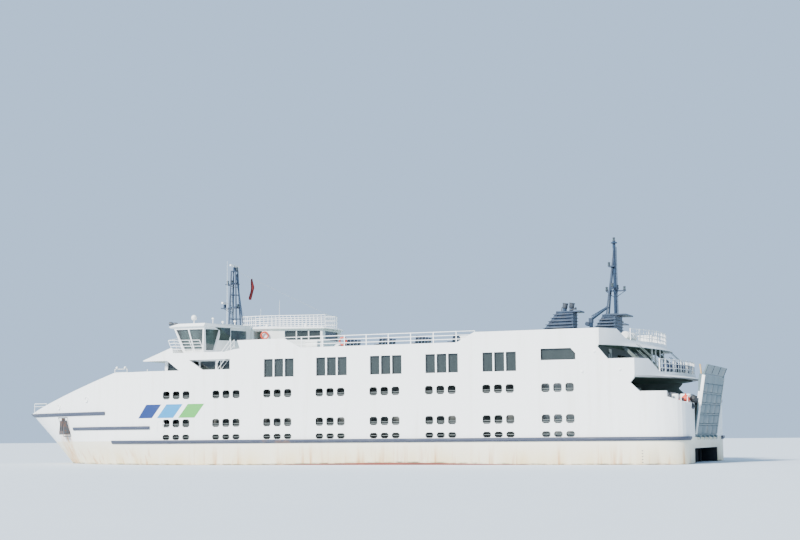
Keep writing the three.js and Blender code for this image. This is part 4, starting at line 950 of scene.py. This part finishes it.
def crane_winch():
    """The hoist drum and its gearbox on the crane's head."""
    x, y, z = CRANE["x"], CRANE["y"], CRANE["pin"] - 0.3
    drum = [
        (0, -0.16), (0.16, -0.16), (0.16, -0.13), (0.09, -0.12), (0.09, 0.12), (0.16, 0.13), (0.16, 0.16),
        (0, 0.16),
    ]
    turned((x + 0.28, y, z), drum, ACROSS, 16)
    block((x + 0.08, y - 0.14, z - 0.1), (x + 0.24, y + 0.14, z + 0.05), 0.02)


# The stern: mooring decks, stairs and seats

WINCH_DRUM = [
    (0, 0), (0.44, 0), (0.44, 0.05), (0.3, 0.08), (0.3, 0.75), (0.44, 0.78), (0.44, 0.83), (0.16, 0.86),
    (0.16, 1.05), (0.26, 1.1), (0.2, 1.2), (0.26, 1.32), (0, 1.34),
]
WINCHES = ((-28.75, 6, MOORING_DECK), (18.3, 1.5, PASSENGER_DECK))
COILS = ((-27.75, 7.6, MOORING_DECK), (14.6, 4.8, PASSENGER_DECK), (20.3, 3.3, PASSENGER_DECK))
BOLLARDS = (
    (-29.5, 5.3, MOORING_DECK), (-27.95, 6.5, MOORING_DECK),
    (14.6, 6.6, PASSENGER_DECK), (19.6, 4.2, PASSENGER_DECK),
)
BOLLARD = [(0, 0), (0.16, 0), (0.14, 0.05), (0.14, 0.45), (0.2, 0.5), (0.2, 0.56), (0, 0.6)]


def bollard_pair(x, y, deck):
    """Two posts with flared caps on one base plate, in line with the ship."""
    centre, half = Vector((x, y, deck)), Vector((0.38, 0, 0))
    spread = half * 1.7 + Vector((0.22, 0.22, 0))
    block(centre - spread - Vector((0, 0, 0.02)), centre + spread + Vector((0, 0, 0.05)), 0.015)
    for side in (half, -half):
        turned(centre + side + Vector((0, 0, 0.02)), BOLLARD, steps=16)


def mooring_winches():
    """Mooring winches with warping heads, behind the stern's bulwarks and on the foredeck."""
    for x, y, deck in WINCHES:
        turned((x, y, deck + 0.62), WINCH_DRUM, ACROSS, 24)
        block((x - 0.45, y - 0.16, deck - 0.02), (x + 0.45, y - 0.04, deck + 1.08), 0.03)
        block((x - 0.45, y + 0.86, deck - 0.02), (x + 0.45, y + 0.98, deck + 1), 0.03)
        block((x - 0.5, y - 0.6, deck - 0.02), (x + 0.5, y - 0.16, deck + 0.75), 0.06)
        block((x - 0.6, y - 0.65, deck - 0.02), (x + 0.6, y + 1.1, deck + 0.08), 0.02)
    both_sides()


def mooring_ropes():
    """Rope wound in turns on the winch drums, and flat coils on the decks."""
    turns = [(0.29 + (0.09 if k % 2 else 0.05), 0.1 + k * 0.03) for k in range(22)]
    for x, y, deck in WINCHES:
        turned((x, y, deck + 0.62), [(0, 0.09), *turns, (0, 0.74)], ACROSS, 24)
    ring = [(0.16 + 0.06 * k, 0.03 + (0.03 if k % 2 else 0)) for k in range(8)]
    coil = [(0.16, 0), *ring, (0.62, 0), (0.16, 0)]
    for x, y, deck in COILS:
        for level in range(3):
            turned((x, y, deck + level * 0.05 - 0.01), coil)
    both_sides()


def mooring_fittings():
    """Bollards on the mooring decks and the foredeck, and roller fairleads on their sill at the stern."""
    for place in BOLLARDS:
        bollard_pair(*place)
    roller = [(0, 0), (0.12, 0), (0.07, 0.08), (0.07, 0.3), (0.12, 0.38), (0, 0.38)]
    for x, y, z in ((-29.75, 6.3, 4.3), (-29.95, 5.7, 4.3), (-28.9, 7.9, 4.7), (-29.1, 7.65, 4.7)):
        turned((x, y, z), roller, steps=14)
    block((-30.1, 5.5, 4.24), (-29.6, 6.5, 4.36), 0.03)
    both_sides()


def mooring_hoods():
    """A hood, a locker and a bent rail on each of the stern's mooring decks."""
    block((-29.6, 6.6, 3.98), (-29.15, 7.2, 4.95), 0.06)
    block((-30, 4.75, 3.98), (-29.3, 5, 5), 0.05)
    rods([(-30.1, 5.2, 3.98), (-30.1, 5.2, 4.95), (-30.1, 6.4, 4.75), (-30.1, 6.4, 4.3)], 0.07)
    both_sides()


def fenders():
    """Black cylindrical fenders hung by ropes from the quarters' bulwarks."""
    skin = [
        (0, -0.34), (0.12, -0.34), (0.24, -0.24), (0.26, -0.1), (0.26, 0.1), (0.24, 0.24), (0.12, 0.34),
        (0, 0.34),
    ]
    turned((-30.32, 5.15, 4.62), skin, (0, 0.9, 0.25), 20)
    turned((-30.2, 5.15, 4.1), [(0, -0.2), (0.1, -0.2), (0.14, 0), (0.1, 0.2), (0, 0.2)], (0, 0, 1), 14)
    rods([(-30.2, 5.15, 4.25), (-30.3, 5.15, 4.62), (-30.28, 5.15, 4.96), (-30.08, 5.2, 4.93)], 0.045)
    both_sides()


def marker_buoys():
    """Orange buoys on the stern's mooring decks."""
    ball = [
        (0, -0.3), (0.16, -0.25), (0.27, -0.12), (0.3, 0.02), (0.26, 0.16), (0.14, 0.26), (0.06, 0.32),
        (0.06, 0.4), (0, 0.4),
    ]
    turned((-29.85, 5.75, 4.6), ball, steps=18)
    turned((-29.55, 7, 4.28), ball, steps=18)
    both_sides()


STERN_STAIR = {"foot": -27.9, "head": -25.6, "inner": 5.35, "outer": 6.1}


def stern_stairs():
    """Stairs from the passenger deck up to the sun deck, with their handrails."""
    inner, outer = STERN_STAIR["inner"], STERN_STAIR["outer"]
    foot = Vector((STERN_STAIR["foot"], 0, PASSENGER_DECK))
    head = Vector((STERN_STAIR["head"], 0, SUN_DECK - 0.22))
    flight(foot, head, (inner, outer), 0.32, 10, ((0, inner + 0.03), (0.3, outer + 0.02)))
    for y in (inner, outer):
        bottom = foot + Vector((0, y, 0))
        for high in (0.5, 0.92):
            rail = Vector((0, y + 0.025, high))
            rod(foot + rail, foot.lerp(head, 0.62) + rail, 0.045, 6)
        rod(bottom, bottom + Vector((0, 0.025, 0.95)), 0.05, 6)
    both_sides()


def sun_deck_posts():
    """White posts under the sun deck's stern, each with a foot plate."""
    high = corner("sun_deck", False).z - PASSENGER_DECK + 0.02
    post = [(0, -0.01), (0.16, -0.01), (0.16, 0.03), (0.07, 0.05), (0.07, high), (0, high)]
    for y in (2.1, 0.8):
        turned((-26.7, y, PASSENGER_DECK), post, steps=16)
    both_sides()


# The stern rails, each on a parabola: x = centre + y * y / curve
SUN_CURVE = {"centre": -27.05, "curve": 27.8, "foot": 8.9, "head": 9.82, "half": 5.3}
PASSENGER_CURVE = {"centre": -29.17, "curve": 32.4, "foot": 6.58, "head": 7.55, "half": 5.6}


def rail_posts():
    """The closer posts between the stern rails' main posts."""
    for edge in (SUN_CURVE, PASSENGER_CURVE):
        for k in range(23):
            y = edge["half"] * (k / 11 - 1)
            x = edge["centre"] + y * y / edge["curve"]
            rod((x, y, edge["foot"]), (x, y, edge["head"]), 0.045, 6)


SEAT_PITCH = 0.68


def seat_row(length):
    """Moulded seats side by side along +Y from the origin, each with a dished back."""
    for k in range(int(length / SEAT_PITCH)):
        y = SEAT_PITCH * k
        block((-0.24, y + 0.08, 0.4), (0.22, y + 0.6, 0.46), 0.02)
        block((-0.28, y + 0.08, 0.44), (-0.22, y + 0.6, 0.98), 0.02, (0, math.radians(-10), 0))
    rod((0, 0.1, 0.38), (0, length - 0.1, 0.38), 0.06, 6)
    for y in (0.25, length - 0.25):
        rod((0, y, -0.01), (0, y, 0.38), 0.06, 6)


def place_row(length, x, y, z, turn=0.0):
    """A row of seats turned about the upright, its middle at a place."""
    bpy.ops.mesh.select_all(action="DESELECT")
    bpy.ops.mesh.hide(unselected=True)
    seat_row(length)
    bpy.ops.mesh.select_all(action="SELECT")
    centre = Vector((0, length / 2, 0)) * M
    bpy.ops.transform.rotate(value=turn, orient_axis="Z", center_override=centre)
    bpy.ops.transform.translate(value=(x * M, y * M - centre.y, z * M))
    bpy.ops.mesh.reveal(select=False)


def deck_seats():
    """Moulded seats on the open decks: by the passenger deck's stern rail and in rows on the sun deck."""
    for y in (1.36, 3.95):
        curve = PASSENGER_CURVE["curve"]
        place_row(4 * SEAT_PITCH, -28.75 + y * y / curve, y, PASSENGER_DECK, 2 * y / curve)
    for x in (-3.5, -6.5, -9.5, -12.5, -15.5):
        place_row(5 * SEAT_PITCH, x, 5.6, SUN_DECK)
    both_sides()


RAFT_HIGH = 0.62  # a canister's axis over the deck
RAFTS = ((-25.2, 2.3), (-25.2, 3.7), (-24.6, 5.3), (-18, 3.6), (-18, 2.3))
RAFT_SHELL = [
    (0, -0.62), (0.22, -0.62), (0.34, -0.5), (0.34, -0.03), (0.36, 0), (0.34, 0.03), (0.34, 0.5),
    (0.22, 0.62), (0, 0.62),
]
RAFT_BAND = [(0.33, -0.03), (0.355, -0.03), (0.355, 0.03), (0.33, 0.03), (0.33, -0.03)]


def life_rafts():
    """Life-raft canisters at the sun deck's stern."""
    for x, y in RAFTS:
        turned((x, y, SUN_DECK + RAFT_HIGH), RAFT_SHELL, ACROSS)
    both_sides()


def raft_cradles():
    """The rafts' cradles and lashing bands."""
    z = SUN_DECK
    for x, y in RAFTS:
        for middle in (y - 0.35, y + 0.35):
            block((x - 0.36, middle - 0.03, z - 0.01), (x + 0.36, middle + 0.03, z + 0.36), 0.015)
            turned((x, middle, z + RAFT_HIGH), RAFT_BAND, ACROSS)
        for bar in (x - 0.3, x + 0.3):
            rod((bar, y - 0.5, z + 0.05), (bar, y + 0.5, z + 0.05), 0.05, 6)
    both_sides()


def deck_fittings():
    """Mushroom ventilators, lockers and a hatch on the open decks."""
    cap = [(0, 0), (0.16, 0), (0.16, 0.6), (0.33, 0.62), (0.34, 0.68), (0.2, 0.8), (0, 0.83)]
    on_sun_deck = ((-1.5, 3.2, SUN_DECK), (-17, 6.9, SUN_DECK))
    on_foredeck = ((13.6, 2.6, PASSENGER_DECK), (16.2, 3.6, PASSENGER_DECK))
    for x, y, deck in on_sun_deck + on_foredeck:
        turned((x, y, deck - 0.02), cap, steps=18)
    for x, y in ((-1.2, 7.4), (-14, 7.4), (-26, 0.9)):
        block((x - 0.5, y - 0.3, SUN_DECK - 0.02), (x + 0.5, y + 0.3, SUN_DECK + 0.75), 0.04)
        block((x - 0.54, y - 0.34, SUN_DECK + 0.7), (x + 0.54, y + 0.34, SUN_DECK + 0.8), 0.03)
    both_sides()
    block((15, -0.8, PASSENGER_DECK - 0.02), (16.4, 0.8, PASSENGER_DECK + 0.5), 0.05)
    block((14.94, -0.86, PASSENGER_DECK + 0.42), (16.46, 0.86, PASSENGER_DECK + 0.56), 0.04)


# The stern ramp and the recess below it

RAMP = {"x": -30.31, "z": 1.78, "lean": math.radians(9.4), "half": 4.165, "length": 4.68}
PANELS = {"columns": 4, "rows": 5, "web": 0.1, "low": 0.13, "high": 4.12, "face": 0.11}


def on_ramp(out, y, up):
    """A point on the raised ramp: out from its hinge towards the bow, breadth, and along its length."""
    cos, sin = math.cos(RAMP["lean"]), math.sin(RAMP["lean"])
    return Vector((RAMP["x"] + out * cos - up * sin, y, RAMP["z"] + out * sin + up * cos))


def ramp_block(low, high, edge=0.01):
    """A box with rounded edges, square to the raised ramp."""
    low, high = Vector(low), Vector(high)
    box(on_ramp(*((low + high) / 2)), high - low, edge, (0, -RAMP["lean"], 0))


def ramp_panels():
    """Flat panels that close the ramp's cells, leaving a dark joint round each."""
    web, face = PANELS["web"], PANELS["face"]
    wide = (2 * RAMP["half"] - 2 * web) / PANELS["columns"]
    tall = (PANELS["high"] - PANELS["low"] - web) / PANELS["rows"]
    joint = web / 2 + 0.03
    for column in range(PANELS["columns"]):
        for row in range(PANELS["rows"]):
            y = -RAMP["half"] + web + column * wide
            z = PANELS["low"] + web + row * tall
            low = (face + 0.012, y + joint, z + joint)
            ramp_block(low, (face + 0.13, y + wide - joint, z + tall - joint), 0.008)


def ramp_sides():
    """White plates along the ramp's edges, and its lifting eyes."""
    y = RAMP["half"]
    ramp_block((0.06, y + 0.002, 0.3), (0.2, y + 0.022, 2.6), 0.006)
    ramp_block((0.06, y + 0.002, 2.6), (0.28, y + 0.022, 4.62), 0.006)
    ramp_block((0.285, y + 0.002, 2.9), (0.4, y + 0.022, 3.4), 0.006)
    both_sides()


def ramp_cleats():
    """Dark cleats across the ramp's roadway, which give tyres a grip."""
    for k in range(16):
        up = 0.5 + k * 0.25
        ramp_block((0.3, -3.6, up), (0.335, -0.6, up + 0.05))
    both_sides()


def flap_ribs():
    """Stiffeners that divide the flap into three."""
    turn = RAMP["lean"] + math.radians(14.5)
    hinge = on_ramp(0.2, 0, RAMP["length"] + 0.08)
    for y in (-3.95, -1.33, 1.33, 3.95):
        middle = hinge + Vector((-math.sin(turn), 0, math.cos(turn))) * 0.36 - Vector((0.075, -y, 0))
        box(middle, (0.04, 0.06, 0.62), 0.008, (0, -turn, 0))


def ramp_post():
    """The buff guide post at the ramp's head."""
    rods([on_ramp(0.35, 4, 3.9), on_ramp(0.36, 4, 4.6), on_ramp(0.57, 4, 5.36)], 0.13, 12)


def sill_recess():
    """Dark lining in the recess under the ramp's sill, painted shade, with its fender strips."""
    half, fore, top = 4.69, -28.92, 1.09
    block((fore, -half, -0.5), (fore + 0.04, half, top))
    block((-30.15, -half, top - 0.03), (fore, half, top + 0.01))
    for y in (half, -half):
        block((-30.15, y - 0.03, -0.38), (fore, y + 0.01, top))
    for k in range(5):
        y = -3.6 + 1.8 * k
        block((-29.1, y - 0.12, -0.4), (fore + 0.01, y + 0.12, 0.95), 0.05)


# The bow and the wheelhouse

def on_shell(x, z):
    """The point on the port shell at a station and height."""
    places = []
    for name in ("bow_shell", "hull"):
        mesh = frame["nodes"][name].data
        corners = [vertex.co for vertex in mesh.vertices]
        surface = BVHTree.FromPolygons(corners, [face.vertices for face in mesh.polygons])
        place = surface.ray_cast(Vector((x, 12, z)) * M, Vector((0, -1, 0)))[0]
        if place:
            places.append(place / M)
    return max(places, key=lambda place: place.y)


def bow_fittings():
    """The rims round the anchors' pockets."""
    pocket = [(24.96, 3.95), (24.6, 2.35), (23.17, 2.35), (23.46, 3.95), (24.96, 3.95)]
    rods([on_shell(x, z) for x, z in pocket], 0.07)
    both_sides()


def bow_fairleads():
    """Oval fairleads in the bow's bulwark."""
    ring = [
        (0.17, -0.02), (0.24, -0.02), (0.28, 0.03), (0.24, 0.09), (0.19, 0.07), (0.17, 0.02), (0.17, -0.02),
    ]
    for x, z in ((24.8, 4.85), (20.5, 5.4)):
        slope = on_shell(x + 0.3, z) - on_shell(x - 0.3, z)
        turned(on_shell(x, z), ring, (-slope.y, slope.x, 0), 20)
    both_sides()


def foredeck_frame():
    """A light frame with two lamps inside each of the foredeck's bulwarks, and a post between them."""
    y = 5.4
    for x in (16.9, 18.1):
        rod((x, y, PASSENGER_DECK), (x, y, 7.9), 0.07)
    for z in (7.62, 7.9):
        rod((16.9, y, z), (18.1, y, z), 0.05)
    lamp = [(0, 0), (0.06, 0), (0.11, 0.06), (0.11, 0.18), (0.05, 0.22), (0, 0.22)]
    for x in (17.1, 17.9):
        turned((x, y, 7.9), lamp, steps=14)
    both_sides()
    rod((18.25, 0, PASSENGER_DECK), (18.25, 0, 8.1), 0.09)


def roof_items():
    """Stub posts on the wheelhouse roof and drum ventilators on the deckhouse roof."""
    for x, y, high in ((9.89, 3.4, 0.75), (9.07, 3.2, 0.45), (7.83, 3.4, 0.45)):
        post = [
            (0, 0), (0.1, 0), (0.04, 0.06), (0.04, high), (0.12, high), (0.1, high + 0.12),
            (0, high + 0.15),
        ]
        turned((x, y, ROOF - 0.02), post, steps=14)
    for x, y in ((5.04, 3), (2.02, 1.9)):
        drum = [(0, 0), (0.14, 0), (0.14, 0.3), (0.08, 0.38), (0, 0.4)]
        turned((x, y, HOUSE_ROOF - 0.1), drum, steps=14)


def lifebuoys():
    """Orange lifebuoys on the deckhouse's sides and at the sun deck's rails."""
    eighth = math.pi / 4
    ring = [(0.28 + 0.07 * math.cos(a * eighth), 0.055 * math.sin(a * eighth)) for a in range(9)]
    turned((4.95, 3.62, 10.42), ring, (-0.4, 1, 0), 24)
    turned((-4.3, HALF_BEAM - 0.2, 9.4), ring, ACROSS, 24)
    both_sides()


def bridge_console():
    """The console and two chairs that show through the wheelhouse glass."""
    y = 1.4
    rod((8.2, y, CANOPY_TOP + 0.09), (8.2, y, 9.45), 0.12)
    block((7.95, y - 0.28, 9.42), (8.45, y + 0.28, 9.54), 0.05)
    block((7.88, y - 0.26, 9.5), (7.98, y + 0.26, 10.25), 0.05)
    both_sides()
    block((9, -3.6, CANOPY_TOP + 0.1), (9.55, 3.6, 9.75), 0.05)
    block((8.85, -3.7, 9.7), (9.6, 3.7, 9.86), 0.04)


# The photograph's view, floor and lights

LENS = 1477.7 / 800  # focal length over the picture's width
EYE = Vector((-50.41, 111.84, 2.26))
YAW, PITCH, ROLL = math.radians(21.83), math.radians(6.35), math.radians(-0.5)


def camera():
    """The photograph's camera, fitted to the ship's window groups and the horizon."""
    forward = Vector((math.sin(YAW) * math.cos(PITCH), -math.cos(YAW) * math.cos(PITCH), math.sin(PITCH)))
    level = forward.cross(Vector((0, 0, 1))).normalized()
    upright = level.cross(forward)
    right = math.cos(ROLL) * level + math.sin(ROLL) * upright
    up = -math.sin(ROLL) * level + math.cos(ROLL) * upright
    bpy.ops.object.camera_add()
    view = bpy.context.object
    view.data.sensor_width = 36
    view.data.lens = 36 * LENS
    view.data.clip_end = 500
    rows = [(right[k], up[k], -forward[k], EYE[k] * M) for k in range(3)]
    view.matrix_world = Matrix((*rows, (0, 0, 0, 1)))
    bpy.context.scene.camera = view


def floor():
    """A plain pale floor at the waterline."""
    bpy.ops.mesh.primitive_plane_add(size=400, location=(0, 0, 0))
    plane = bpy.context.object
    plane.name = "floor"
    paint = Finish("pale_floor", 0.9)
    colour = paint.lay("#C9D3DB", "#C3CED7", paint.patches(6, low=0.3, high=0.7), 0.3)
    plane.data.materials.append(paint.close(colour))


def lights():
    """Soft light: a broad sun from high on the port bow, and a pale blue surround."""
    bpy.ops.object.light_add(type="SUN", rotation=(math.radians(-48), math.radians(28), 0))
    sun = bpy.context.object.data
    sun.energy = 10.5
    sun.angle = math.radians(12)
    sun.color = (1, 0.97, 0.92)
    world = bpy.data.worlds.new("soft_surround")
    bpy.context.scene.world = world
    world.use_nodes = True
    surround = world.node_tree.nodes["Background"]
    surround.inputs["Color"].default_value = (0.5, 0.71, 1, 1)
    surround.inputs["Strength"].default_value = 1.2


camera()
floor()
lights()
dress_solids()
smooth_plating()
build(wing_rails, FITTINGS)
build(roof_rail, FITTINGS)
build(bow_rail, FITTINGS)
build(radome, GRP)
build(searchlights, DARK_PAINT)
build(halyard, GALVANISED)
hang_flag()
build(opening_liners, OPENING_SHADE)
build(vehicle_deck_casings, CASING_SHADE_GREY)
build(opening_bars, BAR_SHADE_GREY)
build(window_gaskets, RUBBER)
build(stair_flights, FITTINGS)
build(side_rail_ends, FITTINGS)
build(side_details, FITTINGS)
build(draught_ticks, DARK_PAINT)
build(mast_ladders, BLUE)
build(lamp_housings, DARK_PAINT)
build(lamp_lenses, BRIDGE_WINDOWS)
build(mast_spars, BLUE)
build(stays, GALVANISED)
build(whip_aerials, GRP)
build(funnel_fins, BLUE)
build(funnel_tops, DARK_PAINT)
build(crane_lattice, BLUE, "crane_boom")
build(crane_winch, BLUE, "crane_head")
build(mooring_winches, DARK_PAINT)
build(mooring_ropes, ROPE_FIBRE)
build(mooring_fittings, DARK_PAINT)
build(mooring_hoods, GRP)
build(fenders, RUBBER)
build(marker_buoys, ORANGE)
# The stern stairs take the grey-green as painted shade under the sun deck.
build(stern_stairs, AFT_GREEN_AND_SHADE)
build(sun_deck_posts, FITTINGS)
build(rail_posts, FITTINGS)
build(deck_seats, SEAT)
build(life_rafts, GRP)
build(raft_cradles, GALVANISED)
build(deck_fittings, FITTINGS)
build(ramp_panels, RAMP_STEEL, "ramp")
build(ramp_sides, FITTINGS, "ramp")
build(ramp_cleats, DARK_PAINT, body="ramp")
build(flap_ribs, DARK_PAINT, body="flap")
build(ramp_post, TAN, body="ramp")
build(sill_recess, RECESS_SHADE_BLACK)
build(bow_fittings, DARK_PAINT)
build(bow_fairleads, FITTINGS)
build(foredeck_frame, FITTINGS)
build(roof_items, GRP)
build(lifebuoys, ORANGE)
build(bridge_console, DARK_PAINT)
